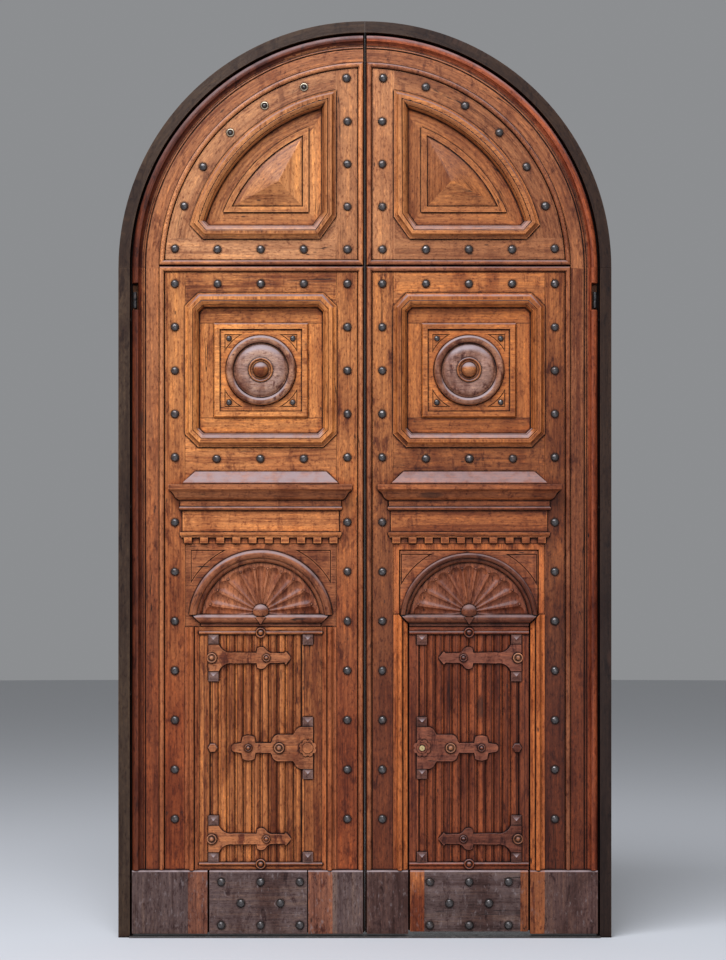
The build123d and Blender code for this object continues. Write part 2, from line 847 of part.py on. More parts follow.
def fan_frame(hand):
    """Arch moulding and sill of the shell niche, with the boss at their meeting."""
    outer = fan_outer[hand]
    lip_y = panel_front - 8
    crest_y = face_y - 27
    cove_y = face_y - 12
    roll_foot = fan_z - 4
    boss_rim = face_y - 17
    boss_dome = 20.0
    outline = sill_outline()
    with BuildPart() as sill:
        with BuildSketch(Plane.YZ.offset(panel_mid - wicket_upper_half)):
            with BuildLine():
                Polyline((board_front, wicket_step_z), (lip_y, wicket_step_z))
                roll_mid = (crest_y, (wicket_step_z + roll_foot) / 2)
                ThreePointArc((lip_y, wicket_step_z), roll_mid, (lip_y, roll_foot))
                Polyline(
                    (lip_y, roll_foot), (lip_y, sill_bottom + 6), (panel_front, sill_bottom),
                    (board_front, sill_bottom), (board_front, wicket_step_z),
                )
            make_face()
        extrude(amount=2 * wicket_upper_half)
        with BuildSketch(at_y(board_front)):
            add(outline)
        extrude(amount=4 * framing_thick, mode=Mode.INTERSECT)
    with BuildPart() as arch:
        with BuildSketch(Plane(origin=(panel_mid, 0, fan_z), x_dir=(1, 0, 0), z_dir=(0, 0, 1))):
            with BuildLine():
                Polyline((shell_radius, board_front), (outer, board_front), (outer, lip_y))
                crest = ((outer + fan_roll_inner) / 2, crest_y)
                ThreePointArc((outer, lip_y), crest, (fan_roll_inner, cove_y))
                cove_end = (shell_radius, shell_front)
                ThreePointArc((fan_roll_inner, cove_y), (shell_radius + 6, cove_y + 6), cove_end)
                Line(cove_end, (shell_radius, board_front))
            make_face()
        revolve(axis=Axis((panel_mid, 0, fan_z), (0, -1, 0)), revolution_arc=180)
        with Locations((panel_mid, 0, fan_z)):
            Box(2 * leaf_radius, 4 * framing_thick, 2 * (wicket_step_z - fan_z), mode=Mode.SUBTRACT)
        add(sill.part)
        boss_centre = (panel_mid, board_front, boss_z)
        with BuildSketch(Plane(origin=boss_centre, x_dir=(1, 0, 0), z_dir=(0, 0, -1))):
            with BuildLine():
                rim = board_front - boss_rim
                Polyline((0, rim + boss_dome), (0, 0), (boss_radius, 0), (boss_radius, rim))
                cap_arc(boss_radius, rim, boss_dome)
            make_face()
        revolve(axis=Axis(boss_centre, (0, 1, 0)))
        with BuildSketch(at_y(face_y)):
            with BuildLine():
                drop_top = boss_z - 0.7 * boss_radius
                tip = (panel_mid, fan_z - 12)
                Polyline((panel_mid - 26, drop_top), tip, (panel_mid + 26, drop_top), close=True)
            make_face()
        extrude(amount=face_y - crest_y + 5)
    return arch.part


def flute_cutter(angle):
    """Rounded wedge that cuts one flute from the boss out to its scallop."""
    flute_depth = 15.0
    narrowing = 0.86
    rise = boss_z - fan_z
    spread = tan(radians(flute_angle / 2))
    length = sqrt(scallop_radius**2 - (rise * cos(angle)) ** 2) - rise * sin(angle)
    end_half = narrowing * length * spread / (1 + spread)
    radius = (end_half**2 + flute_depth**2) / (2 * flute_depth)
    reach = length - end_half
    tip = Vector(panel_mid, shell_front, boss_z)
    end = tip + Vector(reach * cos(angle), flute_depth - radius, reach * sin(angle))
    with BuildPart() as cutter:
        with BuildSketch(Plane(origin=end, z_dir=end - tip)) as wide:
            Circle(radius)
        loft(sections=[wide.sketch.faces()[0], Vertex(tip.X, tip.Y, tip.Z)])
        with Locations(end):
            Sphere(radius)
    return cutter.part


def shell_fan():
    """Half-round board carved with tapering flutes that end in scallops."""
    ball = 6.0
    slack = 0.5
    rise = boss_z - fan_z
    rib_reach = scallop_radius - 14
    first = 90 - flute_angle * (flute_count - 1) / 2
    flutes = [flute_cutter(radians(first + flute_angle * i)) for i in range(flute_count)]
    ribs = [radians(first + flute_angle * (i + 0.5)) for i in range(flute_count - 1)]
    reaches = [sqrt(rib_reach**2 - (rise * cos(angle)) ** 2) - rise * sin(angle) for angle in ribs]
    tips = [
        (panel_mid + reach * cos(angle), shell_front, boss_z + reach * sin(angle))
        for angle, reach in zip(ribs, reaches)
    ]
    with BuildPart() as shell:
        with BuildSketch(at_y(board_front)):
            with Locations((panel_mid, fan_z)):
                Circle(shell_radius - slack)
            with Locations((panel_mid, wicket_step_z + slack - shell_radius)):
                Rectangle(2 * shell_radius, 2 * shell_radius, mode=Mode.SUBTRACT)
            with Locations((panel_mid, boss_z)):
                Circle(boss_radius + slack, mode=Mode.SUBTRACT)
        extrude(amount=board_front - shell_front)
        for flute in flutes:
            add(flute, mode=Mode.SUBTRACT)
        with Locations(*tips):
            Sphere(ball)
        with Locations((panel_mid, 0, wicket_step_z + slack - shell_radius)):
            Box(2 * leaf_radius, 4 * framing_thick, 2 * shell_radius, mode=Mode.SUBTRACT)
    return shell.part


def strip_profile(start):
    """Section of the upright moulding beside the lower panel, from its outer edge inwards."""
    edge_y = face_y - 3
    roll_y = face_y - 20
    with BuildSketch(Plane.XY) as section:
        with BuildLine():
            Polyline((start, board_front), (start, edge_y), (start + 7, edge_y))
            ThreePointArc((start + 7, edge_y), (start + 19, edge_y - 4), (start + 25, roll_y))
            ThreePointArc((start + 25, roll_y), (start + 40, roll_y - 3), (start + 47, edge_y - 5))
            Polyline(
                (start + 47, edge_y - 5), (start + 50, edge_y - 5), (start + 54, edge_y - 9),
                (start + strip_width, panel_front - 3), (start + strip_width, board_front),
                (start, board_front),
            )
        make_face()
    return section.sketch


def surround(has_wicket):
    """Mouldings on the leaf at both sides of the lower panel, with a plain edge round the pass door."""
    start = panel_mid - panel_half + joint
    bottom = kick_top + joint
    top = wicket_step_z if has_wicket else sill_bottom - joint
    edge_width = panel_half - wicket_upper_half
    edge_top = dentil_bottom - joint
    section = strip_profile(start)
    outline = wicket_outline(wicket_gap, 0)
    with BuildPart() as strips:
        with BuildSketch(Plane.XY.offset(bottom)):
            add(section)
        extrude(amount=top - bottom)
        if has_wicket:
            with BuildSketch(at_y(board_front)):
                with Locations((start + edge_width / 2, (top + edge_top) / 2)):
                    Rectangle(edge_width, edge_top - top)
                with Locations(((start + panel_mid) / 2, edge_top - edge_width / 2)):
                    Rectangle(panel_mid - start, edge_width)
            extrude(amount=board_front - panel_front)
            with BuildSketch(at_y(board_front)):
                add(outline)
            extrude(amount=4 * framing_thick, mode=Mode.SUBTRACT)
        mirror(about=Plane.YZ.offset(panel_mid))
    return strips.part


def reeded_panel(hand):
    """Upright reeded boards with a plain margin at each side."""
    half = lower_panel_half[hand]
    first = reed_first[hand]
    count = reed_count[hand]
    valley = panel_front + reed_rise
    left = panel_mid - half
    right = panel_mid + half
    end = first + reed_pitch * count
    with BuildPart() as panel:
        with BuildSketch(Plane.XY.offset(lower_rail_top)):
            with BuildLine():
                Polyline((first, valley), (first - 3, panel_front), (left, panel_front), (left, board_front))
                Line((left, board_front), (right, board_front))
                Polyline((right, board_front), (right, panel_front), (end + 3, panel_front), (end, valley))
                for i in range(count):
                    x = first + reed_pitch * i
                    ThreePointArc((x, valley), (x + reed_pitch / 2, panel_front), (x + reed_pitch, valley))
            make_face()
        extrude(amount=upper_rail_bottom - lower_rail_top)
        if hand == "right":
            cylinder_hole()
    return panel.part


def cylinder_hole():
    """Hole for the lock cylinder through the layer being made."""
    with Locations(Plane(origin=(gear_x, kick_front, middle_strap_z), z_dir=(0, -1, 0))):
        Hole(cylinder_radius + cylinder_fit)


def panel_rails(hand):
    """Rails above and below the reeded boards, each with a bead and a small rosette."""
    half = lower_panel_half[hand]
    bead = 8.0
    rail_front = panel_front - 4
    upper_bottom = upper_rail_bottom + joint
    upper_top = sill_bottom - joint
    lower_bottom = kick_top + joint
    lower_top = lower_rail_top - joint
    middle_y = (board_front + rail_front) / 2
    rosette = button(26, 24)
    with BuildPart() as rails:
        with BuildSketch(Plane.YZ.offset(panel_mid - half)):
            with Locations((middle_y, (upper_bottom + upper_top) / 2)):
                Rectangle(board_front - rail_front, upper_top - upper_bottom)
            with Locations((middle_y, (lower_bottom + lower_top) / 2)):
                Rectangle(board_front - rail_front, lower_top - lower_bottom)
            with Locations((rail_front, upper_bottom + bead), (rail_front, lower_top - bead)):
                Circle(bead)
        extrude(amount=2 * half)
        for z in (upper_bottom + bead, lower_top - bead):
            with Locations(facing(panel_mid, rail_front, z)):
                add(rosette)
    return rails.part


def end_strap():
    """Outline of the strap at the top and bottom of the panel, its root at x = 0."""
    with BuildSketch(Plane.XY) as outline:
        with BuildLine():
            Polyline((0, 0), (0, 70), (55, 70))
            ThreePointArc((55, 70), (82, 38), (134, 29))
            Polyline((134, 29), (256, 27), (260, 50))
            ThreePointArc((260, 50), (282, 58), (306, 44))
            ThreePointArc((306, 44), (322, 29), (346, 26))
            Polyline((346, 26), (402, 24), (412, 34), (440, 0), (0, 0))
        make_face()
        mirror(about=Plane.XZ)
    return outline.sketch


def middle_strap():
    """Outline of the larger strap at the lock, its root at x = 0."""
    with BuildSketch(Plane.XY) as outline:
        with BuildLine():
            Polyline((0, 0), (0, 110), (53, 110))
            ThreePointArc((53, 110), (80, 104), (95, 84))
            Polyline((95, 84), (105, 70), (176, 70))
            ThreePointArc((176, 70), (206, 60), (216, 38))
            Polyline((216, 38), (224, 25), (305, 26), (311, 58))
            ThreePointArc((311, 58), (342, 66), (373, 58))
            Polyline((373, 58), (379, 26), (418, 20))
            ThreePointArc((418, 20), (429, 12), (432, 0))
            Line((432, 0), (0, 0))
        make_face()
        mirror(about=Plane.XZ)
    return outline.sketch


def button(radius, height):
    """Small turned rosette with a raised rim and a knob."""
    low = height * 0.4
    rim = radius * 0.74
    with BuildPart() as turned:
        with BuildSketch(Plane.XZ):
            with BuildLine():
                Polyline((0, 0), (radius, 0), (radius, low))
                ThreePointArc((radius, low), ((radius + rim) / 2, height * 0.6), (rim, low))
                Line((rim, low), (radius / 2, low))
                cap_arc(radius / 2, low, height - low)
                Line((0, height), (0, 0))
            make_face()
        revolve(axis=Axis.Z)
    return turned.part


def block():
    """Square carved block with a low pyramid on it."""
    edge = block_height * 0.4
    with BuildPart() as square:
        with BuildSketch(Plane.XY):
            Rectangle(block_size, block_size)
        extrude(amount=edge)
        with BuildSketch(Plane.XY.offset(edge)) as top:
            Rectangle(block_size - 6, block_size - 6)
        loft(sections=[top.sketch.faces()[0], Vertex(0, 0, block_height)])
    return square.part


def gear_rosette():
    """Round rosette with a scalloped edge at the root of the middle strap."""
    radius = 46.0
    lobes = 8
    with BuildPart() as gear:
        with BuildSketch(Plane.XY):
            Circle(radius)
            with PolarLocations(radius + 2, lobes):
                Circle(9, mode=Mode.SUBTRACT)
        extrude(amount=gear_thick - 3)
        with BuildSketch(Plane.XY):
            Circle(0.6 * radius)
        extrude(amount=gear_thick)
    return gear.part


def carved_straps(hand):
    """The three carved straps with their rosettes, end blocks and the small catch block."""
    strap_face = panel_front - strap_thick
    end_reach = 70 + block_size / 2 + joint
    middle_reach = 110 + block_size / 2 + joint
    outer_x = strap_root_outer - block_size / 2
    inner_x = strap_root_inner + block_size / 2
    levels = (top_strap_z, bottom_strap_z)
    blocks = [(outer_x, z + side * end_reach) for z in levels for side in (-1, 1)]
    blocks += [(inner_x, middle_strap_z + side * middle_reach) for side in (-1, 1)]
    blocks += [(inner_x, top_strap_z + end_reach), (inner_x, bottom_strap_z - end_reach)]
    large = [(strap_root_outer - 18, z) for z in levels] + [(strap_root_inner + 179, middle_strap_z)]
    small = [(strap_root_outer - 308, z) for z in levels] + [(strap_root_inner + 343, middle_strap_z)]
    end_outline = end_strap()
    middle_outline = middle_strap()
    pieces = [
        (button(26, 20), large, strap_face), (button(19, 15), small, strap_face),
        (gear_rosette(), [(gear_x, middle_strap_z)], strap_face), (block(), blocks, panel_front),
    ]
    with BuildPart() as straps:
        for z in levels:
            root = (strap_root_outer, panel_front, z)
            with BuildSketch(Plane(origin=root, x_dir=(-1, 0, 0), z_dir=(0, -1, 0))):
                add(end_outline)
        extrude(amount=strap_thick)
        with BuildSketch(facing(strap_root_inner, panel_front, middle_strap_z)):
            add(middle_outline)
        extrude(amount=strap_thick)
        for piece, places, seat in pieces:
            with Locations(*[facing(x, seat, z) for x, z in places]):
                add(piece)
        with BuildSketch(facing(strap_root_outer - 22, panel_front, middle_strap_z)):
            RegularPolygon(26, 6)
        extrude(amount=strap_thick + 4, taper=12)
        if hand == "right":
            cylinder_hole()
    return straps.part


def kick_boards(start_ends, bottom):
    """Thick boards across the foot of the leaf, with a bevelled top edge."""
    bevel = 7.0
    with BuildPart() as boards:
        for start, end in start_ends:
            with BuildSketch(Plane.YZ.offset(start)):
                with BuildLine():
                    Polyline(
                        (board_front, bottom), (kick_front, bottom), (kick_front, kick_top - bevel),
                        (kick_front + bevel, kick_top), (board_front, kick_top), close=True,
                    )
                make_face()
            extrude(amount=end - start)
    return boards.part


def stud(radius, height):
    """Round-headed iron stud on a flat collar."""
    collar = height / 5
    with BuildPart() as head:
        with BuildSketch(Plane.XZ):
            with BuildLine():
                Polyline((0, 0), (radius, 0), (radius, collar))
                cap_arc(radius, collar, height - collar)
                Line((0, height), (0, 0))
            make_face()
        revolve(axis=Axis.Z)
    return head.part


def leaf_studs():
    """Places of the studs on the stiles and rails of a leaf."""
    inner_x = 93.0
    outer_x = 1011.0
    arch_radius = 1016.0
    rail_xs = (325.0, 554.0, 784.0)
    lunette_z = 3660.0
    top_z = 3477.0
    low_rail_z = 2546.0
    low_rail_xs = (325.0, 556.0, 788.0)
    places = [(inner_x, lunette_z + 227.0 * i) for i in range(4)]
    places += [(x, lunette_z) for x in rail_xs]
    for i in range(7):
        angle = radians(5.9 + 13.1 * i)
        places.append((arch_radius * cos(angle), springing_z + arch_radius * sin(angle)))
    for x in (inner_x, outer_x):
        places += [(x, top_z - 231.0 * i) for i in range(5)]
        places += [(x, 2208.0 - 263.2 * i) for i in range(7)]
    places += [(x, top_z) for x in rail_xs]
    places += [(x, low_rail_z) for x in low_rail_xs]
    return places


def panel_studs():
    """Places of the four small studs in the corners of the upper panel."""
    reach = 170.0
    return [(panel_mid + sx * reach, rosette_z + sz * reach) for sx in (-1, 1) for sz in (-1, 1)]


def kick_studs():
    """Places of the eight studs on the middle kick board."""
    rows = ((296.0, 3, 209.0), (183.0, 2, 210.0), (66.0, 3, 209.0))
    return [
        (panel_mid + pitch * (i - (count - 1) / 2), z) for z, count, pitch in rows for i in range(count)
    ]


def studs(groups):
    """Groups of studs, each group with its places, its surface and its size factor."""
    heads = [stud(stud_radius * factor, stud_height * factor) for _, _, factor in groups]
    with BuildPart() as group:
        for head, (places, y, _) in zip(heads, groups):
            with Locations(*[facing(x, y, z) for x, z in places]):
                add(head)
    return group.part


def strap_hinges(x, y, surface_y, bottoms, lengths):
    """Iron straps with an eye at their end, lying on the surface at surface_y."""
    end_radius = eye_height / 2 + 8
    middle_y = surface_y + strap_iron / 2
    with BuildPart() as irons:
        for bottom, length in zip(bottoms, lengths):
            middle_z = bottom + eye_height / 2
            with Locations((x - length / 2, middle_y, middle_z)):
                Box(length, strap_iron, eye_height)
            with Locations(facing(x - length, middle_y, middle_z)):
                Cylinder(end_radius, strap_iron)
            with Locations((x, y, middle_z)):
                Cylinder(eye_radius, eye_height)
                Cylinder(pin_radius + pin_clearance, eye_height, mode=Mode.SUBTRACT)
    return irons.part


def guide(z):
    """Bracket on the back of the left leaf with a hole for an upright bolt rod."""
    height = 40.0
    with BuildPart() as bracket:
        with Locations((rod_x, board_back + 3, z)):
            Box(guide_width + 20, 6, height)
        with Locations((rod_x, board_back + guide_size / 2, z)):
            Box(guide_size, guide_size, height)
        with Locations((rod_x, rod_y, z)):
            Cylinder(rod_radius + slide_fit, height, mode=Mode.SUBTRACT)
    return bracket.part


def left_bolt_fittings():
    """Guides of the two upright bolts, and the keep that takes the gate bolt."""
    keep_start = 12.0
    keep_end = 44.0
    keep_middle = (keep_start + keep_end) / 2
    guides = [guide(z) for z in (110.0, 520.0, 950.0, 3420.0, 4050.0, 4650.0)]
    with BuildPart() as fittings:
        for bracket in guides:
            add(bracket)
        with Locations((keep_middle, board_back + guide_size / 2, gate_bolt_z)):
            Box(keep_end - keep_start, guide_size, guide_width)
        with BuildSketch(Plane.YZ.offset(keep_start)):
            with Locations((rod_y, gate_bolt_z)):
                Circle(rod_radius + 1)
        extrude(amount=keep_end - keep_start, mode=Mode.SUBTRACT)
    return fittings.part


def upright_bolt(bottom, top, grip_z):
    """Round bolt rod with a finger grip that stands out behind the leaf."""
    grip_length = 34.0
    grip_radius = 6.0
    with BuildPart() as rod:
        with BuildSketch(Plane.XY.offset(bottom)):
            with Locations((rod_x, rod_y)):
                Circle(rod_radius)
        extrude(amount=top - bottom)
        with BuildSketch(at_y(rod_y)):
            with Locations((rod_x, grip_z)):
                Circle(grip_radius)
        extrude(amount=-grip_length)
        with Locations((rod_x, rod_y + grip_length, grip_z)):
            Sphere(grip_radius + 4)
    return rod.part


def gate_bolt():
    """Level bolt on the right leaf, drawn back, that shoots into the left leaf's keep."""
    start = 14.0
    end = 165.0
    grip_x = 157.0
    grip_length = 30.0
    with BuildPart() as rod:
        with BuildSketch(Plane.YZ.offset(start)):
            with Locations((rod_y, gate_bolt_z)):
                Circle(rod_radius)
        extrude(amount=end - start)
        with BuildSketch(at_y(rod_y)):
            with Locations((grip_x, gate_bolt_z)):
                Circle(6)
        extrude(amount=-grip_length)
    return rod.part


def right_leaf_fittings():
    """Gate bolt guides, the keep beside the pass door's lock and the pass door's pintles."""
    keep_start = 150.0
    keep_end = panel_mid - wicket_lower_half - wicket_lip - wicket_board_gap - 4
    keep_depth = wicket_back + lock_depth - board_back
    pocket = lock_throw + 6
    bolt_y = wicket_back + lock_depth / 2
    plate_start = wicket_pivot_x + 15
    brackets = [
        pintle(wicket_pivot_x, wicket_pivot_y, board_back, bottom, plate_start, plate_start + 60)
        for bottom in wicket_hinge_bottoms
    ]
    with BuildPart() as fittings:
        for start, end in ((22.0, 47.0), (80.0, 105.0)):
            middle = (start + end) / 2
            with Locations((middle, board_back + guide_size / 2, gate_bolt_z)):
                Box(end - start, guide_size, guide_size)
            with Locations((middle, board_back + 3, gate_bolt_z)):
                Box(end - start, 6, guide_width + 20)
        with BuildSketch(Plane.YZ):
            with Locations((rod_y, gate_bolt_z)):
                Circle(rod_radius + slide_fit)
        extrude(amount=keep_start, mode=Mode.SUBTRACT)
        with Locations(((keep_start + keep_end) / 2, board_back + keep_depth / 2, middle_strap_z)):
            Box(keep_end - keep_start, keep_depth, lock_bolt_height + 30)
        with Locations((keep_end - pocket / 2, bolt_y, middle_strap_z)):
            Box(pocket, lock_bolt_thick + 2, lock_bolt_height + 2, mode=Mode.SUBTRACT)
        for bracket in brackets:
            add(bracket)
    return fittings.part


def wicket_boards():
    """Planks at the back of the pass door, wider than its front so that they close behind the leaf."""
    half = wicket_upper_half + wicket_lip
    pitch = 2 * half / wicket_planks
    outline = wicket_outline(wicket_lip, wicket_bottom)
    with BuildPart() as boards:
        with BuildSketch(at_y(wicket_back)):
            add(outline)
            for i in range(1, wicket_planks):
                with Locations((panel_mid - half + pitch * i, wicket_top / 2)):
                    Rectangle(joint, 2 * wicket_top, mode=Mode.SUBTRACT)
        extrude(amount=wicket_back - board_front - wicket_seat_gap)
        cylinder_hole()
    return boards.part


def lock_case():
    """Iron case of the rim lock, with the bolt's slot and the knob's hole."""
    start = panel_mid - wicket_lower_half - wicket_lip + 4
    bolt_y = wicket_back + lock_depth / 2
    slot_length = lock_width - 20
    slot_thick = lock_bolt_thick + 2 * lock_fit
    slot_height = lock_bolt_height + 2 * lock_fit
    with BuildPart() as case:
        with Locations((start + lock_width / 2, wicket_back + lock_depth / 2, middle_strap_z)):
            Box(lock_width, lock_depth, lock_height)
        chamfer(case.faces().sort_by(Axis.Y)[-1].edges(), 4)
        with Locations((start + slot_length / 2, bolt_y, middle_strap_z)):
            Box(slot_length, slot_thick, slot_height, mode=Mode.SUBTRACT)
        with BuildSketch(at_y(wicket_back + lock_depth)):
            with Locations((gear_x, middle_strap_z)):
                Circle(knob_shaft_radius + slide_fit)
        extrude(amount=(lock_depth - lock_bolt_thick) / 2, mode=Mode.SUBTRACT)
    return case.part


def lock_bolt():
    """Flat bolt of the rim lock, drawn back into its case."""
    start = panel_mid - wicket_lower_half - wicket_lip + 4
    bolt_y = wicket_back + lock_depth / 2
    length = lock_width - 20 - lock_throw - 2
    with BuildPart() as bolt:
        with Locations((start + 1 + length / 2, bolt_y, middle_strap_z)):
            Box(length, lock_bolt_thick, lock_bolt_height)
        chamfer(bolt.faces().sort_by(Axis.X)[0].edges(), 1.5)
    return bolt.part


def lock_knob():
    """Turning knob behind the lock case, with its shaft in the case."""
    shaft_start = wicket_back + lock_depth - (lock_depth - lock_bolt_thick) / 2 + lock_fit
    shaft_end = wicket_back + lock_depth + 3
    grip = 24.0
    with BuildPart() as knob:
        with BuildSketch(at_y(shaft_start)):
            with Locations((gear_x, middle_strap_z)):
                Circle(knob_shaft_radius)
        extrude(amount=shaft_start - shaft_end)
        with BuildSketch(at_y(shaft_end)):
            with Locations((gear_x, middle_strap_z)):
                SlotOverall(54, 16, rotation=90)
                Circle(14)
        extrude(amount=-grip)
    return knob.part


def key_cylinder():
    """Round lock cylinder through the pass door, with a key slot in its face."""
    front_y = panel_front - strap_thick - 12
    with BuildPart() as barrel:
        with BuildSketch(at_y(wicket_back)):
            with Locations((gear_x, middle_strap_z)):
                Circle(cylinder_radius)
        extrude(amount=wicket_back - front_y)
        with BuildSketch(at_y(front_y)):
            with Locations((gear_x, middle_strap_z)):
                Rectangle(2.4, 10)
        extrude(amount=-8, mode=Mode.SUBTRACT)
    return barrel.part


right_post = post()
keep(right_post, "right_post")
keep_left(right_post, "left_post")
keep(arch_head(), "arch_head")
keep(threshold(), "threshold")
keep(frame_ironwork(), "frame_ironwork")

keep_pair(outer_border(), "border")
keep_pair(beads(), "beads")
keep_pair(lunette_frame(), "lunette_frame")
keep_pair(lunette_moulding(), "lunette_moulding")
keep_pair(lunette_panel(), "lunette_panel")
keep_pair(framing(), "framing")
keep_pair(panel_moulding(), "panel_moulding")
keep_pair(upper_panel(), "upper_panel")
keep_pair(cornice(), "cornice")
keep_pair(frieze(), "frieze")
keep_pair(strap_hinges(pivot_x, pivot_y, board_back, hinge_bottoms, hinge_lengths), "hinge_straps")

leaf_groups = [(leaf_studs(), face_y, 1.0), (panel_studs(), panel_face - 4, 0.7)]
kick_group = (kick_studs(), kick_front, 1.0)
kick_start = panel_mid - wicket_lower_half + 3
kick_end = panel_mid + wicket_lower_half - 3

keep_left(back_boards(False), "left_back_boards")
keep_left(surround(False), "left_surround")
keep_left(spandrel_board("left"), "left_spandrel_board")
keep_left(fan_frame("left"), "left_fan_frame")
keep_left(shell_fan(), "left_shell_fan")
keep_left(reeded_panel("left"), "left_reeded_panel")
keep_left(panel_rails("left"), "left_panel_rails")
keep_left(carved_straps("left"), "left_carved_straps")
keep_left(
    kick_boards(((meeting_gap, 302.0), (306.0, 827.0), (836.0, leaf_radius)), floor_gap), "left_kick_boards"
)
keep_left(studs(leaf_groups + [kick_group]), "left_studs")
keep_left(left_bolt_fittings(), "left_bolt_fittings")
keep_left(upright_bolt(3300.0, 4790.0, 3335.0), "top_bolt")
keep_left(upright_bolt(27.0, 1010.0, 900.0), "bottom_bolt")

keep(back_boards(True), "right_back_boards")
keep(surround(True), "right_surround")
right_boards = ((meeting_gap, kick_start - 3 - wicket_gap), (kick_end + 3 + wicket_gap, leaf_radius))
keep(kick_boards(right_boards, floor_gap), "right_kick_boards")
keep(studs(leaf_groups), "right_studs")
keep(right_leaf_fittings(), "right_leaf_fittings")
keep(gate_bolt(), "gate_bolt")

keep(wicket_boards(), "wicket_boards")
keep(spandrel_board("right"), "wicket_spandrel_board")
keep(fan_frame("right"), "wicket_fan_frame")
keep(shell_fan(), "wicket_shell_fan")
keep(reeded_panel("right"), "wicket_reeded_panel")
keep(panel_rails("right"), "wicket_panel_rails")
keep(carved_straps("right"), "wicket_carved_straps")
keep(kick_boards(((kick_start, kick_end),), wicket_bottom), "wicket_kick_board")
keep(studs([kick_group]), "wicket_studs")
keep(
    strap_hinges(
        wicket_pivot_x, wicket_pivot_y, wicket_back, wicket_hinge_bottoms,
        (wicket_strap_length, wicket_strap_length),
    ),
    "wicket_hinge_straps",
)
keep(lock_case(), "lock_case")
keep(lock_bolt(), "lock_bolt")
keep(lock_knob(), "lock_knob")
keep(key_cylinder(), "key_cylinder")
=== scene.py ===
import heapq
import itertools
import json
import math
import random

import bmesh
import bpy
import numpy as np
from bpy.props import FloatProperty, FloatVectorProperty, PointerProperty
from bpy.types import Operator, Panel, PropertyGroup
from mathutils import Matrix, Vector

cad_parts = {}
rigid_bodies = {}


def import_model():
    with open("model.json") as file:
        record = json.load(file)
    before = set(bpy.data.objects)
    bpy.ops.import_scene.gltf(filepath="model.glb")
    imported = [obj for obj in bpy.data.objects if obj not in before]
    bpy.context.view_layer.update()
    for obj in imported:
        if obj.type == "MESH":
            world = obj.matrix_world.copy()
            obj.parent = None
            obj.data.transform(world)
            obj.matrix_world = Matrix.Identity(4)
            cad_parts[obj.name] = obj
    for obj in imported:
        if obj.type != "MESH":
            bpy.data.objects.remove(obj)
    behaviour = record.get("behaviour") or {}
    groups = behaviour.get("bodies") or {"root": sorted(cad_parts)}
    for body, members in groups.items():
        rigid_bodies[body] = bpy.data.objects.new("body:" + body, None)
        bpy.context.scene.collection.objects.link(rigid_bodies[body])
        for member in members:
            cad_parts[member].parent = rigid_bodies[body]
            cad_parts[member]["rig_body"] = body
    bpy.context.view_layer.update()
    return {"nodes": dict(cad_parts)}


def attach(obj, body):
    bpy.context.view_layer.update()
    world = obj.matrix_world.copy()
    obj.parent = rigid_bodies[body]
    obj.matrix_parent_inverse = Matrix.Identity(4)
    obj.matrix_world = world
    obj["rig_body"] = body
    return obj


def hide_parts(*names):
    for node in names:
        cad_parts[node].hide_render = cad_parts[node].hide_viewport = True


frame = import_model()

bl_info = {
    "name": "Arched double door finishes",
    "version": (1, 0, 0),
    "blender": (4, 5, 0),
    "location": "View3D > Sidebar > Door",
    "description": "Old varnished wood, forged studs and ironwork for an arched double door",
    "category": "Object",
}

# Places and sizes in metres, as in the part's source
SIDES = {"left": -1, "right": 1}
SPRINGING_Z = 3.560
RIM_START = 1.186
OPENING_SIDE = 0.155
OPENING_BOTTOM = 3.716
OPENING_RADIUS = 0.958
OPENING_ENDS = ((0.946, OPENING_BOTTOM), (OPENING_SIDE, 4.505))
PYRAMID_X = 0.460
PYRAMID_Z = 4.018
PYRAMID_JOINT_Z = 4.104
NICHE_X = 0.554
NICHE_Z = 1.677
SILL_TOP = 1.7165
ROSETTE_Z = 3.018
ROSETTE_ROLL = 0.1835
ROSETTE_DISH = 0.146
ROSETTE_CORE = 0.072
SQUARE_HALF = 0.2525
STRIP_HEAD_Z = 2.06
FOOT_MIDDLE = (0.3165, 0.826)
FOOT_EASE = 0.0035
BLOCK_HALF = 0.027
STRAP_BLOCKS = (
    (0.8055, 1.5833), (0.8055, 1.3887), (0.8055, 0.6203), (0.8055, 0.4257),
    (0.3035, 1.1443), (0.3035, 0.8697), (0.3035, 1.5833), (0.3035, 0.4257),
)
STRAP_ROSETTES = ((0.814, 1.486), (0.814, 0.523), (0.456, 1.007))
STRAP_ROSETTE_RADIUS = 0.0265
FIRST_REED_X = {"left": 0.336, "wicket": 0.287}
REED_COUNT = 13
REED_PITCH = 0.0445
REED_LINE = 0.68
CUPPED_STUDS = ((-0.3235, 4.517), (-0.5363, 4.421), (-0.7171, 4.283))
CUP_OUTLINE = ((0.0135, 0.0005), (0.0135, -0.0025), (0.0165, -0.0050), (0.0200, -0.0045), (0.0225, 0.0005))
CUP_REACH = 0.04
CUPPED_RADIUS = 0.5
CUPPED_HEIGHT = 0.7
STUD_DENT = 0.05
STUD_TURN = 6.28
KNUCKLE_OUTLINE = (
    (0.0, 0.0), (0.0085, 0.0), (0.0110, 0.0025), (0.0110, 0.0405), (0.0085, 0.0430), (0.0, 0.0430),
)
KNUCKLE_X = 1.2245
KNUCKLE_Y = -0.012
KNUCKLE_BOTTOMS = (3.3480, 3.3915)

# Grooves round a moulding's inner slope: places into the door with half their widths
QUIRKS = ((-0.0555, 0.0010), (-0.0405, 0.0022))
QUIRK_DEPTH = 0.0045

# Open joints: half their width, the tone that marks them and the tone below which it is read
SEAM_HALF = 0.0017
SEAM_TONE = -9.0
SEAM_LIMIT = -5.0

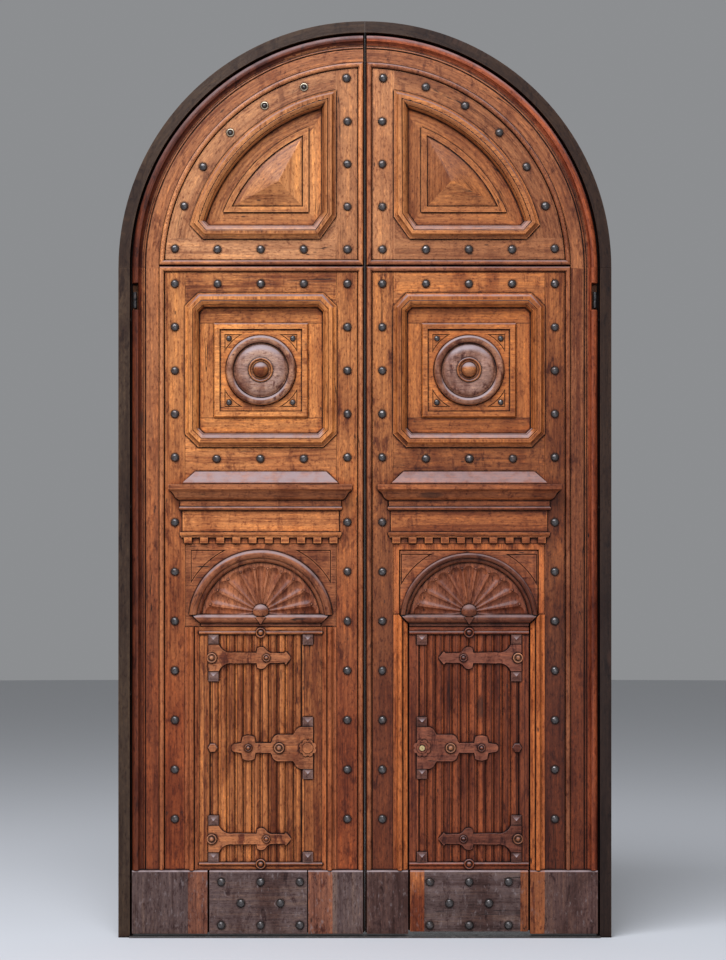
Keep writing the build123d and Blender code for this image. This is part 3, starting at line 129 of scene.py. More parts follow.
# Ways of the grain, and the radius that turns an angle into a length along it
UP, LEVEL, SEAM = ("up",), ("level",), ("seam",)
ROUND = ("arc", 0.0, SPRINGING_Z)
DOOR_ARC = 0.9
NICHE_ARC = 0.35

# Limits for telling level, upright, flat and round faces of a moulding
STRAIGHT = 0.9999
FLAT = 0.985
LEAST_SPOKE = 0.4
SPOKE_SLACK = 0.05

# Distances at which points meet, and the angle up to which faces are one
ON_PLANE = 1e-6
WELD = 2e-6
ONE_FACE = 0.003

# Stage; a light has its place, what it looks at, its width, height and power
FLOOR_RADIUS = 60.0
WORLD_COLOUR = (0.80, 0.82, 0.85, 1.0)
WORLD_STRENGTH = 0.33
LIGHTS = (
    ("sky_light", (-2.6, -7.0, 11.5), (0.0, 0.0, 2.6), 9.5, 5.0, 2000.0),
    ("front_light", (1.5, -12.0, 3.0), (0.0, 0.0, 2.0), 9.0, 5.0, 260.0),
)
CAMERA_X = -0.01
CAMERA_SHIFT = 0.163
DOOR_FACE = 0.03

# Colours of what lies on or in the wood and the iron, and of painted shade and sheen
NICK = (0.030, 0.012, 0.008)
PORE = (0.05, 0.02, 0.012)
KNOT = (0.045, 0.018, 0.011)
CRACK = (0.010, 0.006, 0.005)
# Near black in creases: dirt, and painted shade
DIRT_AND_SHADE = (0.006, 0.003, 0.0025)
SCUFF = (0.22, 0.17, 0.165)
# Greyish mauve on faces that look up: settled dust, and a painted sky reflection on the varnish
DUST_AND_SHEEN = (0.31, 0.235, 0.235)
# Near black where other parts close in round the iron: painted shade
HOLLOW_SHADE = (0.012, 0.009, 0.008)
CUP_SCALE = (0.16, 0.13, 0.10)
BRASS_SCALE = (0.16, 0.11, 0.05)


def feed(tree, socket, value):
    """Links a socket to another one, or sets its value."""
    if isinstance(value, bpy.types.NodeSocket):
        tree.links.new(value, socket)
    else:
        socket.default_value = value


def node(tree, kind, inputs=None, **settings):
    """Adds a shader node. The helpers below give back the socket of its result."""
    made = tree.nodes.new("ShaderNode" + kind)
    for name, value in settings.items():
        setattr(made, name, value)
    for key, value in (inputs or {}).items():
        feed(tree, made.inputs[key], value)
    return made


def blend(tree, factor, first, second, kind="MIX"):
    mix = node(tree, "Mix", data_type="RGBA", blend_type=kind, clamp_factor=True)
    for index, value in ((0, factor), (6, first), (7, second)):
        if isinstance(value, tuple):
            value = (*value, 1.0)
        feed(tree, mix.inputs[index], value)
    return mix.outputs[2]


def tinted(tree, factor, colour, source, tint):
    """Blends a colour with the source times a tint."""
    return blend(tree, factor, colour, blend(tree, 1.0, source, tint, "MULTIPLY"))


def calc(tree, operation, *values, clamp=False):
    made = node(tree, "Math", operation=operation, use_clamp=clamp)
    for index, value in enumerate(values):
        feed(tree, made.inputs[index], value)
    return made.outputs[0]


def times(tree, first, second, clamp=False):
    return calc(tree, "MULTIPLY", first, second, clamp=clamp)


def fade(tree, value, low, high, start=0.0, end=1.0):
    """Goes smoothly from start to end as the value goes from low to high."""
    places = {"Value": value, "From Min": low, "From Max": high, "To Min": start, "To Max": end}
    return node(tree, "MapRange", places, interpolation_type="SMOOTHSTEP", clamp=True).outputs[0]


def stretched(tree, vector, stretch):
    return node(tree, "VectorMath", {0: vector, 1: stretch}, operation="MULTIPLY").outputs[0]


def noise(tree, vector, stretch, detail=2.0, roughness=0.55, distortion=0.0):
    inputs = {
        "Vector": stretched(tree, vector, stretch),
        "Scale": 1.0,
        "Detail": detail,
        "Roughness": roughness,
        "Distortion": distortion,
    }
    return node(tree, "TexNoise", inputs).outputs[0]


def spots(tree, vector, stretch, size, rarity):
    """Round marks scattered at random, as few as rarity says."""
    cells = node(tree, "TexVoronoi", {"Vector": stretched(tree, vector, stretch), "Scale": 1.0})
    chance = node(tree, "SeparateColor", {0: cells.outputs["Color"]}).outputs[0]
    chosen = calc(tree, "GREATER_THAN", chance, rarity)
    return times(tree, fade(tree, cells.outputs["Distance"], size, size * 0.55), chosen)


def new_group(name, inputs, outputs):
    """A group whose inputs have these defaults, None for a vector. All outputs but Color are numbers."""
    tree = bpy.data.node_groups.new(name, "ShaderNodeTree")
    for label, value in inputs.items():
        kind = "Vector" if value is None else "Color" if isinstance(value, tuple) else "Float"
        socket = tree.interface.new_socket(name=label, in_out="INPUT", socket_type="NodeSocket" + kind)
        if value is not None:
            socket.default_value = value
    for label in outputs:
        kind = "Color" if label == "Color" else "Float"
        tree.interface.new_socket(name=label, in_out="OUTPUT", socket_type="NodeSocket" + kind)
    return tree, tree.nodes.new("NodeGroupInput").outputs, tree.nodes.new("NodeGroupOutput").inputs


def old_wood():
    """Grain, cracks, worm holes, patina and dirt of old varnished wood, with painted shade in hollows and
    creases, a painted light from the upper left and a painted sky sheen on faces that look up.
    """
    tree, given, result = new_group(
        "old_wood",
        {
            "Grain": None, "Place": None, "Facing": None,
            "Tone": 0.0, "Worn": 0.0, "Open": 1.0, "Crease": 1.0, "Arris": 1.0,
            "Upper wood": (0.4, 0.2, 0.1, 1), "Lower wood": (0.2, 0.08, 0.04, 1),
            "Figure": 1.0, "Patina": 0.5, "Holes": 0.5, "Dust and sheen": 0.5, "Side light": 1.0, "Scuffed": 0.0,
        },
        ("Color", "Roughness", "Coat", "Height"),
    )
    grain, place = given["Grain"], given["Place"]
    across, _, height = node(tree, "SeparateXYZ", {0: place}).outputs
    clouds = noise(tree, place, (2.1, 2.1, 1.5), 4.0, 0.62)
    seam = calc(tree, "LESS_THAN", given["Tone"], SEAM_LIMIT)
    rise = calc(tree, "ADD", height, times(tree, calc(tree, "SUBTRACT", clouds, 0.5), 2.2))
    body = blend(tree, fade(tree, rise, 0.9, 3.6), given["Lower wood"], given["Upper wood"])
    # Painted light: the left of the door is made lighter, and the right darker towards its foot, as though
    # lit from the upper left.
    right_side_shade = blend(tree, fade(tree, height, 2.7, 1.4), (0.82, 0.72, 0.62), (0.60, 0.53, 0.55))
    painted_side_light = blend(tree, fade(tree, across, -0.8, 0.8), (1.14, 1.18, 1.12), right_side_shade)
    body = tinted(tree, given["Side light"], body, body, painted_side_light)

    bands = noise(tree, grain, (21.0, 21.0, 0.9), 3.0, 0.55, 0.5)
    streaks = noise(tree, grain, (95.0, 95.0, 2.6), 4.0, 0.6)
    fibres = noise(tree, grain, (520.0, 520.0, 16.0), 2.0, 0.5)
    figure = times(tree, bands, 0.42)
    figure = calc(tree, "MULTIPLY_ADD", streaks, 0.36, figure)
    figure = calc(tree, "MULTIPLY_ADD", fibres, 0.22, figure)
    figure = calc(tree, "MULTIPLY_ADD", given["Tone"], 0.035, figure)
    pale = times(tree, fade(tree, figure, 0.50, 0.64), given["Figure"], clamp=True)
    deep = times(tree, fade(tree, figure, 0.51, 0.38), given["Figure"], clamp=True)
    colour = tinted(tree, pale, body, body, (1.65, 1.62, 1.35))
    colour = tinted(tree, deep, colour, body, (0.44, 0.31, 0.27))

    patina = fade(tree, noise(tree, place, (5.3, 5.3, 2.1), 5.0, 0.66, 0.3), 0.47, 0.64)
    patina = times(tree, patina, given["Patina"])
    colour = tinted(tree, patina, colour, colour, (0.42, 0.27, 0.23))
    stains = fade(tree, noise(tree, place, (19.0, 19.0, 7.0), 6.0, 0.72, 0.4), 0.54, 0.66)
    stains = times(tree, stains, times(tree, given["Patina"], 1.3), clamp=True)
    colour = tinted(tree, stains, colour, colour, (0.34, 0.23, 0.24))
    rubbed = fade(tree, noise(tree, grain, (7.0, 7.0, 1.1), 4.0, 0.6), 0.56, 0.72)
    rubbed = times(tree, rubbed, times(tree, given["Patina"], 0.9))
    colour = tinted(tree, rubbed, colour, colour, (1.35, 1.4, 1.45))

    lot = fade(tree, given["Tone"], -1.0, 1.0)
    darker = blend(tree, 1.0, colour, (0.88, 0.84, 0.80), "MULTIPLY")
    colour = tinted(tree, lot, darker, colour, (1.12, 1.14, 1.14))
    mottle = noise(tree, grain, (95.0, 95.0, 36.0), 5.0, 0.75)
    colour = tinted(tree, fade(tree, mottle, 0.53, 0.63, 0.0, 0.85), colour, colour, (0.42, 0.28, 0.24))
    colour = tinted(tree, fade(tree, mottle, 0.46, 0.35, 0.0, 0.75), colour, colour, (1.6, 1.55, 1.4))
    nicks = spots(tree, grain, (24.0, 24.0, 10.0), 0.15, 0.62)
    nicks = times(tree, nicks, fade(tree, noise(tree, place, (4.3, 4.3, 4.3), 3.0), 0.60, 0.42))
    colour = blend(tree, times(tree, nicks, 0.75), colour, NICK)
    pores = fade(tree, noise(tree, grain, (1150.0, 1150.0, 70.0), 1.0), 0.60, 0.70)
    colour = blend(tree, times(tree, pores, 0.35), colour, PORE)
    ridge = noise(tree, grain, (13.0, 13.0, 0.5), 3.0, 0.5, 0.3)
    ridge = calc(tree, "ABSOLUTE", calc(tree, "SUBTRACT", ridge, 0.5))
    split = fade(tree, noise(tree, place, (1.9, 1.9, 1.3), 2.0), 0.52, 0.60)
    cracks = times(tree, fade(tree, ridge, 0.0042, 0.0012), split)
    knots = spots(tree, grain, (6.0, 6.0, 2.0), 0.16, 0.80)
    holes = spots(tree, grain, (42.0, 42.0, 42.0), 0.13, 0.72)
    holes = times(tree, holes, fade(tree, noise(tree, place, (3.1, 3.1, 3.1), 2.0), 0.62, 0.42))
    holes = times(tree, holes, given["Holes"])
    colour = blend(tree, times(tree, knots, 0.7), colour, KNOT)
    marks = calc(tree, "MAXIMUM", calc(tree, "MAXIMUM", cracks, holes), times(tree, seam, 0.8))
    colour = blend(tree, times(tree, marks, 0.9), colour, CRACK)

    wear = calc(tree, "MAXIMUM", given["Worn"], fade(tree, given["Arris"], 0.86, 0.55))
    wear = times(tree, wear, fade(tree, noise(tree, place, (14.0, 14.0, 9.0), 3.0), 0.38, 0.62))
    colour = tinted(tree, times(tree, wear, 0.7), colour, body, (1.6, 1.6, 1.6))

    # Painted shade: hollows that other wood closes in are darkened, farther out where the reach is longer.
    shade = fade(tree, given["Open"], 0.97, 0.50)
    colour = tinted(tree, shade, colour, colour, (0.74, 0.50, 0.36))
    # Creases are darkened almost to black: dirt, and painted shade.
    uneven = fade(tree, noise(tree, place, (31.0, 31.0, 12.0), 3.0), 0.25, 0.6, 0.65, 1.0)
    crease_dirt_and_shade = times(tree, fade(tree, given["Crease"], 0.97, 0.74), uneven)
    colour = blend(tree, times(tree, crease_dirt_and_shade, 0.97), colour, DIRT_AND_SHADE)

    # Faces that look up turn greyish mauve: settled dust, and a painted reflection of the sky on the varnish.
    up = fade(tree, node(tree, "SeparateXYZ", {0: given["Facing"]}).outputs[2], 0.12, 0.62)
    drift = fade(tree, noise(tree, place, (17.0, 17.0, 17.0), 4.0), 0.2, 0.62, 0.45, 1.0)
    settled_and_sheen = times(tree, up, drift)
    scuffs = fade(tree, noise(tree, place, (48.0, 48.0, 19.0), 6.0, 0.72), 0.55, 0.68)
    colour = blend(tree, times(tree, scuffs, given["Scuffed"]), colour, SCUFF)
    settled_and_sheen = times(tree, settled_and_sheen, given["Dust and sheen"])
    settled_and_sheen = times(tree, settled_and_sheen, fade(tree, given["Open"], 0.55, 0.9, 0.35, 1.0))
    colour = blend(tree, settled_and_sheen, colour, DUST_AND_SHEEN)

    rough = calc(tree, "MULTIPLY_ADD", streaks, 0.16, 0.34)
    rough = calc(tree, "MULTIPLY_ADD", crease_dirt_and_shade, 0.40, rough)
    rough = calc(tree, "MULTIPLY_ADD", patina, 0.12, rough, clamp=True)
    coat = calc(tree, "MULTIPLY_ADD", calc(tree, "MAXIMUM", crease_dirt_and_shade, marks), -0.035, 0.035, clamp=True)
    relief = times(tree, figure, 0.9)
    relief = calc(tree, "MULTIPLY_ADD", fibres, 0.35, relief)
    relief = calc(tree, "SUBTRACT", relief, times(tree, pores, 0.25))
    relief = calc(tree, "SUBTRACT", relief, times(tree, marks, 1.6))
    relief = calc(tree, "MULTIPLY_ADD", noise(tree, place, (23.0, 23.0, 23.0), 3.0), 0.8, relief)
    for name, value in (("Color", colour), ("Roughness", rough), ("Coat", coat), ("Height", relief)):
        tree.links.new(value, result[name])
    return tree


def old_metal():
    """Dark scale, rubbed high places and rust of old metal, with painted shade where other parts close in."""
    tree, given, result = new_group(
        "old_metal",
        {
            "Place": None, "Open": 1.0,
            "Bare": (0.3, 0.3, 0.3, 1), "Scale layer": (0.03, 0.03, 0.03, 1), "Rust": (0.12, 0.05, 0.03, 1),
            "Scaled": 0.8, "Rusted": 0.3,
        },
        ("Color", "Roughness", "Metal", "Height"),
    )
    place = given["Place"]
    coarse = noise(tree, place, (55.0, 55.0, 55.0), 4.0, 0.6)
    fine = noise(tree, place, (420.0, 420.0, 420.0), 3.0, 0.6)
    covered = times(tree, fade(tree, coarse, 0.25, 0.55, 0.55, 1.0), given["Scaled"])
    colour = blend(tree, covered, given["Bare"], given["Scale layer"])
    blooms = fade(tree, noise(tree, place, (31.0, 31.0, 31.0), 5.0, 0.7), 0.5, 0.68)
    rust = times(tree, blooms, given["Rusted"])
    hidden = fade(tree, given["Open"], 0.8, 0.35)
    rust = calc(tree, "MAXIMUM", rust, times(tree, hidden, given["Rusted"]))
    colour = blend(tree, rust, colour, given["Rust"])
    # Painted shade: the iron is darkened where other parts close in.
    colour = blend(tree, times(tree, hidden, 0.6), colour, HOLLOW_SHADE)
    rough = calc(tree, "MULTIPLY_ADD", coarse, 0.25, 0.16)
    rough = calc(tree, "MULTIPLY_ADD", rust, 0.35, rough, clamp=True)
    dull = calc(tree, "MAXIMUM", rust, times(tree, covered, 0.45))
    metal = calc(tree, "SUBTRACT", 1.0, dull, clamp=True)
    relief = calc(tree, "MULTIPLY_ADD", fine, 0.3, coarse)
    for name, value in (("Color", colour), ("Roughness", rough), ("Metal", metal), ("Height", relief)):
        tree.links.new(value, result[name])
    return tree


def bare_material(name):
    material = bpy.data.materials.new(name)
    material.use_nodes = True
    return material, material.node_tree, material.node_tree.nodes["Principled BSDF"]


def place_group(tree, shader, build, inputs, links, strength, relief):
    """Adds a group, built at its first use, and feeds its results to the shader and its height to a bump."""
    made = tree.nodes.new("ShaderNodeGroup")
    made.node_tree = bpy.data.node_groups.get(build.__name__) or build()
    for key, value in inputs.items():
        feed(tree, made.inputs[key], value)
    for result, socket in links.items():
        tree.links.new(made.outputs[result], shader.inputs[socket])
    bump = node(tree, "Bump", {"Strength": strength, "Distance": relief, "Height": made.outputs["Height"]})
    tree.links.new(bump.outputs[0], shader.inputs["Normal"])


def wood_material(
    name, colour, figure=1.0, patina=0.5, holes=0.35, dust=0.6, relief=0.0011, reach=0.045,
    bleached=1.0, scuffed=0.0, lower=None,
):
    """Varnished wood, with another colour near the foot of the door where lower is given."""
    material, tree, shader = bare_material(name)
    inputs = {
        "Grain": node(tree, "Attribute", attribute_name="grain").outputs["Vector"],
        "Place": node(tree, "TexCoord").outputs["Object"],
        "Facing": node(tree, "NewGeometry").outputs["Normal"],
        "Tone": node(tree, "Attribute", attribute_name="tone").outputs["Fac"],
        "Worn": node(tree, "Attribute", attribute_name="worn").outputs["Fac"],
        "Open": node(tree, "AmbientOcclusion", {"Distance": reach}, samples=4).outputs["AO"],
        "Crease": node(tree, "AmbientOcclusion", {"Distance": 0.012}, samples=4).outputs["AO"],
        "Arris": node(tree, "AmbientOcclusion", {"Distance": 0.006}, samples=3, inside=True).outputs["AO"],
        "Upper wood": (*colour, 1.0),
        "Lower wood": (*(lower or colour), 1.0),
        "Figure": figure, "Patina": patina, "Holes": holes,
        "Dust and sheen": dust, "Side light": bleached, "Scuffed": scuffed,
    }
    links = {"Color": "Base Color", "Roughness": "Roughness", "Coat": "Coat Weight"}
    place_group(tree, shader, old_wood, inputs, links, 0.55, relief)
    shader.inputs["Coat Roughness"].default_value = 0.25
    shader.inputs["Specular IOR Level"].default_value = 0.16
    return material


def metal_material(name, bare, scale, rust, scaled=0.8, rusted=0.3, relief=0.0008):
    """Old metal, bare where it is rubbed, under a dark or brown layer and rust."""
    material, tree, shader = bare_material(name)
    inputs = {
        "Place": node(tree, "TexCoord").outputs["Object"],
        "Open": node(tree, "AmbientOcclusion", {"Distance": 0.02}, samples=4).outputs["AO"],
        "Bare": (*bare, 1.0), "Scale layer": (*scale, 1.0), "Rust": (*rust, 1.0),
        "Scaled": scaled, "Rusted": rusted,
    }
    links = {"Color": "Base Color", "Roughness": "Roughness", "Metal": "Metallic"}
    place_group(tree, shader, old_metal, inputs, links, 0.6, relief)
    return material


def board_labels(mesh):
    """For each triangle of a node's mesh, the number of the board that it belongs to."""
    count = len(mesh.polygons)
    places = np.empty(len(mesh.vertices) * 3)
    mesh.vertices.foreach_get("co", places)
    corners = np.empty(count * 3, int)
    mesh.polygons.foreach_get("vertices", corners)
    corners = corners.reshape(-1, 3)
    rounded = np.round(places.reshape(-1, 3) * 1e6).astype(np.int64)
    same = np.unique(rounded, axis=0, return_inverse=True)[1].ravel()[corners]
    edges = np.sort(np.concatenate([same[:, [0, 1]], same[:, [1, 2]], same[:, [2, 0]]]), axis=1)
    faces = np.tile(np.arange(count), 3)
    order = np.lexsort((faces, edges[:, 1], edges[:, 0]))
    edges, faces = edges[order].tolist(), faces[order].tolist()
    parent = list(range(count))

    def root(face):
        while parent[face] != face:
            parent[face] = parent[parent[face]]
            face = parent[face]
        return face

    i = 0
    while i < len(edges) - 1:
        if edges[i] == edges[i + 1]:
            parent[root(faces[i])] = root(faces[i + 1])
            i += 1
        i += 1
    owner = {}
    for face, trio in enumerate(corners.tolist()):
        for vertex in trio:
            other = owner.setdefault(vertex, face)
            parent[root(other)] = root(face)
    roots = [root(face) for face in range(count)]
    numbers = {r: i for i, r in enumerate(sorted(set(roots)))}
    return [numbers[r] for r in roots]


def part(bm, place, direction):
    """Cuts all faces along a plane and keeps both sides."""
    geom = bm.verts[:] + bm.edges[:] + bm.faces[:]
    bmesh.ops.bisect_plane(bm, geom=geom, dist=ON_PLANE, plane_co=place, plane_no=direction)


def merged_copy(name, cuts, whole):
    """A node's mesh with its boards numbered, each closed up on its own, and flat faces made whole."""
    source = frame["nodes"][name].data
    labels = board_labels(source)
    bm = bmesh.new()
    bm.from_mesh(source)
    board = bm.faces.layers.int.new("board")
    corners = {}
    for face, label in zip(bm.faces, labels):
        face[board] = label
        corners.setdefault(label, set()).update(face.verts)
    for label in sorted(corners):
        verts = sorted(corners[label], key=lambda v: v.index)
        bmesh.ops.remove_doubles(bm, verts=verts, dist=WELD)
    bmesh.ops.dissolve_degenerate(bm, dist=ON_PLANE, edges=bm.edges)
    if whole:
        bmesh.ops.dissolve_limit(bm, angle_limit=ONE_FACE, verts=bm.verts, edges=bm.edges)
    for place, direction in cuts:
        part(bm, place, direction)
    return bm, board


def inner_quirks(centre_x, centre_z):
    """Carves narrow grooves round a moulding's inner slope."""
    def carve(bm):
        for middle, half in QUIRKS:
            for place in (middle - half, middle, middle + half):
                part(bm, (0.0, place, 0.0), (0.0, 1.0, 0.0))
            bm.normal_update()
            for vert in bm.verts:
                x, z = math.copysign(centre_x, vert.co.x) - vert.co.x, centre_z - vert.co.z
                if abs(vert.co.y - middle) < ON_PLANE and x * vert.normal.x + z * vert.normal.z > 0.0:
                    vert.co -= vert.normal * QUIRK_DEPTH
    return carve


def ease_edges(bm, width, least_angle=0.6):
    """Bevels the sharp outer edges, and marks the new faces as worn."""
    worn = bm.faces.layers.float.new("edge")
    sharp = [e for e in bm.edges if e.is_manifold and e.is_convex and e.calc_face_angle() > least_angle]
    made = bmesh.ops.bevel(
        bm, geom=sharp, offset=width, offset_type="OFFSET", segments=2, profile=0.5,
        affect="EDGES", clamp_overlap=True, material=-1, loop_slide=True,
    )
    for face in made["faces"]:
        face[worn] = 1.0
    return worn


def run_of(face):
    """Way of the grain at a moulding's face, square to the way the face looks."""
    x, z = face.normal.x, face.normal.z
    size = math.hypot(x, z)
    x, z = x / size, z / size
    if abs(z) > STRAIGHT:
        return LEVEL
    if abs(x) > STRAIGHT:
        return UP
    middle = face.calc_center_median()
    spoke = Vector((middle.x, middle.z - SPRINGING_Z))
    if spoke.length > LEAST_SPOKE and abs(spoke.x * z - spoke.y * x) < SPOKE_SLACK * spoke.length:
        return ROUND
    return ("slant", round(math.degrees(math.atan2(x, -z)) % 180))


def moulding_runs(bm):
    """Way of the grain on a mitred moulding. Flat faces follow the neighbour along their longest edge."""
    runs = {face: run_of(face) for face in bm.faces if abs(face.normal.y) <= FLAT}
    queue, order = [], itertools.count()

    def spread(face):
        for edge in face.edges:
            for other in edge.link_faces:
                if other not in runs:
                    heapq.heappush(queue, (-edge.calc_length(), next(order), other, runs[face]))

    for face in list(runs):
        spread(face)
    while queue:
        _, _, face, run = heapq.heappop(queue)
        if face not in runs:
            runs[face] = run
            spread(face)
    return lambda face, box: runs.get(face, UP)


def longest_way(bm):
    """Grain along each board's longer side."""
    def run(face, box):
        low, high = box
        return LEVEL if high.x - low.x > high.z - low.z else UP
    return run


def always(run):
    """A rule for wood whose grain all runs one way."""
    return lambda bm: lambda face, box: run


upright, level, round_arch = always(UP), always(LEVEL), always(ROUND)


def by_place(rule):
    """Turns a rule for one place into a rule for the faces of a mesh."""
    return lambda bm: lambda face, box: rule(face.calc_center_median())


@by_place
def jamb_and_arch(middle):
    """Upright beside the leaf, and round the arch above the springing."""
    return ROUND if middle.z > SPRINGING_Z else UP


@by_place
def lunette_fields(middle):
    """Boards mitred round the lunette's panel, each along the nearest side of the opening."""
    sides = (
        (abs(middle.x) - OPENING_SIDE, UP),
        (middle.z - OPENING_BOTTOM, LEVEL),
        (OPENING_RADIUS - math.hypot(middle.x, middle.z - SPRINGING_Z), ROUND),
    )
    return min(sides, key=lambda side: side[0])[1]


def arch_cuts(side):
    """Planes that part an arch every few degrees, so that its grain runs true round the curve."""
    angles = [math.radians(step) for step in range(3, 90, 3)]
    return [((0.0, 0.0, SPRINGING_Z), (math.cos(angle), 0.0, -side * math.sin(angle))) for angle in angles]


def lunette_mitres(side):
    """Planes that part the lunette's panel at its mitres and at the joint across the raised part."""
    corner = Vector((side * OPENING_SIDE, 0.0, OPENING_BOTTOM))
    cuts = [((0.0, 0.0, PYRAMID_JOINT_Z), (0.0, 0.0, 1.0)), (corner, (side, 0.0, -1.0))]
    for x, z in OPENING_ENDS:
        cuts.append(((side * x, 0.0, z), (z - PYRAMID_Z, 0.0, side * PYRAMID_X - side * x)))
    return cuts


@by_place
def lunette_rails(middle):
    """Stile, bottom rail and arched rail round the lunette."""
    if abs(middle.x) < OPENING_SIDE:
        return UP
    return LEVEL if middle.z < OPENING_BOTTOM else ROUND


@by_place
def niche_arch(middle):
    """Arch round the shell, above a level sill."""
    return LEVEL if middle.z < SILL_TOP else ("arc", math.copysign(NICHE_X, middle.x), NICHE_Z)


def reeds(first):
    """Upright reeds, each a board of its own with a scored line."""
    @by_place
    def rule(middle):
        place = (abs(middle.x) - first) / REED_PITCH
        reed = math.floor(place)
        if abs(place - reed - REED_LINE) * REED_PITCH < SEAM_HALF:
            return SEAM
        return ("up", reed, place - reed > REED_LINE)
    return rule


def reed_cuts(side, first):
    """Planes beside the line scored along each reed."""
    lines = [first + REED_PITCH * (reed + REED_LINE) for reed in range(-1, REED_COUNT)]
    edges = [line + way for line in lines for way in (-SEAM_HALF, SEAM_HALF)]
    return [((side * edge, 0.0, 0.0), (1.0, 0.0, 0.0)) for edge in edges]


@by_place
def strips(middle):
    """A level strip over two upright ones."""
    return LEVEL if middle.z > STRIP_HEAD_Z else ("up", middle.x > math.copysign(NICHE_X, middle.x))


@by_place
def square_panel(middle):
    """Boards round the square of the upper panel, level above and below it, with open joints between."""
    out = abs(abs(middle.x) - NICHE_X)
    rise = abs(middle.z - ROSETTE_Z)
    if out < SQUARE_HALF and rise < SQUARE_HALF:
        return LEVEL
    if out > SQUARE_HALF and abs(rise - SQUARE_HALF) < SEAM_HALF:
        return SEAM
    return ("level", middle.z > ROSETTE_Z) if rise > SQUARE_HALF else ("up", abs(middle.x) > NICHE_X)


def square_panel_cuts(side):
    """Planes at the sides of the square and at both edges of its open joints."""
    edges = (-SQUARE_HALF, SQUARE_HALF)
    heights = [ROSETTE_Z + edge + way for edge in edges for way in (-SEAM_HALF, SEAM_HALF)]
    cuts = [((0.0, 0.0, height), (0.0, 0.0, 1.0)) for height in heights]
    return cuts + [((side * (NICHE_X + edge), 0.0, 0.0), (1.0, 0.0, 0.0)) for edge in edges]


@by_place
def foot_boards(middle):
    """Level boards in the middle of each leaf, upright ones beside them."""
    out = abs(middle.x)
    return LEVEL if FOOT_MIDDLE[0] < out < FOOT_MIDDLE[1] else ("up", out > NICHE_X)


def on_strap_blocks(point):
    return any(max(abs(abs(point.x) - x), abs(point.z - z)) < BLOCK_HALF for x, z in STRAP_BLOCKS)


def between(low, high):
    return lambda point: low - 1e-4 < point.x < high + 1e-4


def grain_place(run, point):
    """Where a point is across, into and along the wood that runs this way."""
    kind = run[0]
    if kind == "level":
        return point.z, point.y, point.x
    if kind == "arc":
        x, z = point.x - run[1], point.z - run[2]
        return math.hypot(x, z), point.y, math.atan2(x, z) * (DOOR_ARC if run == ROUND else NICHE_ARC)
    if kind == "slant":
        angle = math.radians(run[1])
        c, s = math.cos(angle), math.sin(angle)
        return point.z * c - point.x * s, point.y, point.x * c + point.z * s
    return point.x, point.y, point.z


def lay_grain(name, bm, board, worn, rule):
    """Writes the grain, tone and wear that the wood material reads."""
    boxes = {}
    for face in bm.faces:
        first = face.verts[0].co
        low, high = boxes.setdefault(face[board], (first.copy(), first.copy()))
        for vert in face.verts:
            for axis in range(3):
                low[axis] = min(low[axis], vert.co[axis])
                high[axis] = max(high[axis], vert.co[axis])
    bm.normal_update()
    run_at = rule(bm)
    grain = bm.loops.layers.float_vector.new("grain")
    tone = bm.loops.layers.float.new("tone")
    edge = bm.loops.layers.float.new("worn")
    lots = {}
    for face in bm.faces:
        run = run_at(face, boxes[face[board]])
        key = (name, face[board], run)
        if key not in lots:
            draw = random.Random(repr(key) + "b")
            lots[key] = (draw.uniform(0, 9), draw.uniform(0, 9), draw.uniform(0, 40), draw.uniform(-1, 1))
        across, into, along, shade = lots[key]
        for loop in face.loops:
            a, b, c = grain_place(run, loop.vert.co)
            loop[grain] = (a + across, b + into, c + along)
            loop[tone] = SEAM_TONE if run == SEAM else shade
            loop[edge] = face[worn] if worn else 0.0


def finished_mesh(name, bm, materials, smooth_angle=0.6):
    mesh = bpy.data.meshes.new(name)
    bm.to_mesh(mesh)
    bm.free()
    for stale in ("custom_normal", "sharp_edge", "sharp_face"):
        if stale in mesh.attributes:
            mesh.attributes.remove(mesh.attributes[stale])
    mesh.materials.clear()
    for material in materials:
        mesh.materials.append(material)
    mesh.shade_smooth()
    mesh.set_sharp_from_angle(angle=smooth_angle)
    made = bpy.data.objects.new(name, mesh)
    bpy.context.scene.collection.objects.link(made)
    return made


def timber(name, material, rule, ease=0.0, cuts=(), whole=True, carve=None):
    """The finished wood that stands for a node."""
    bm, board = merged_copy(name, cuts, whole)
    if carve:
        carve(bm)
    worn = ease_edges(bm, ease) if ease else None
    lay_grain(name, bm, board, worn, rule)
    made = finished_mesh(name + "_timber", bm, [material])
    normals = made.modifiers.new("flat_faces", "WEIGHTED_NORMAL")
    normals.keep_sharp = True
    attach(made, body_of_node(name))
    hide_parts(name)
    return made


def second_finish(made, material, *tests):
    """Gives another material to the faces whose corners all pass one of the tests."""
    made.data.materials.append(material)
    points = made.data.vertices
    for face in made.data.polygons:
        if any(all(test(points[i].co) for i in face.vertices) for test in tests):
            face.material_index = len(made.data.materials) - 1


def on_rim(point):
    """On the outer roll of a border."""
    if point.z > SPRINGING_Z:
        return math.hypot(point.x, point.z - SPRINGING_Z) > RIM_START
    return abs(point.x) > RIM_START


def near_rosette(radius):
    return lambda point: math.hypot(abs(point.x) - NICHE_X, point.z - ROSETTE_Z) < radius


def on_strap_rosettes(point):
    return any(math.hypot(abs(point.x) - x, point.z - z) < STRAP_ROSETTE_RADIUS for x, z in STRAP_ROSETTES)


def body_of_node(name):
    return frame["nodes"][name]["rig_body"]


def both(stem):
    return ["left_" + stem, "right_" + stem]


def swatch(name, description, default):
    return FloatVectorProperty(
        name=name, description=description, subtype="COLOR", default=default, min=0.0, max=1.0
    )


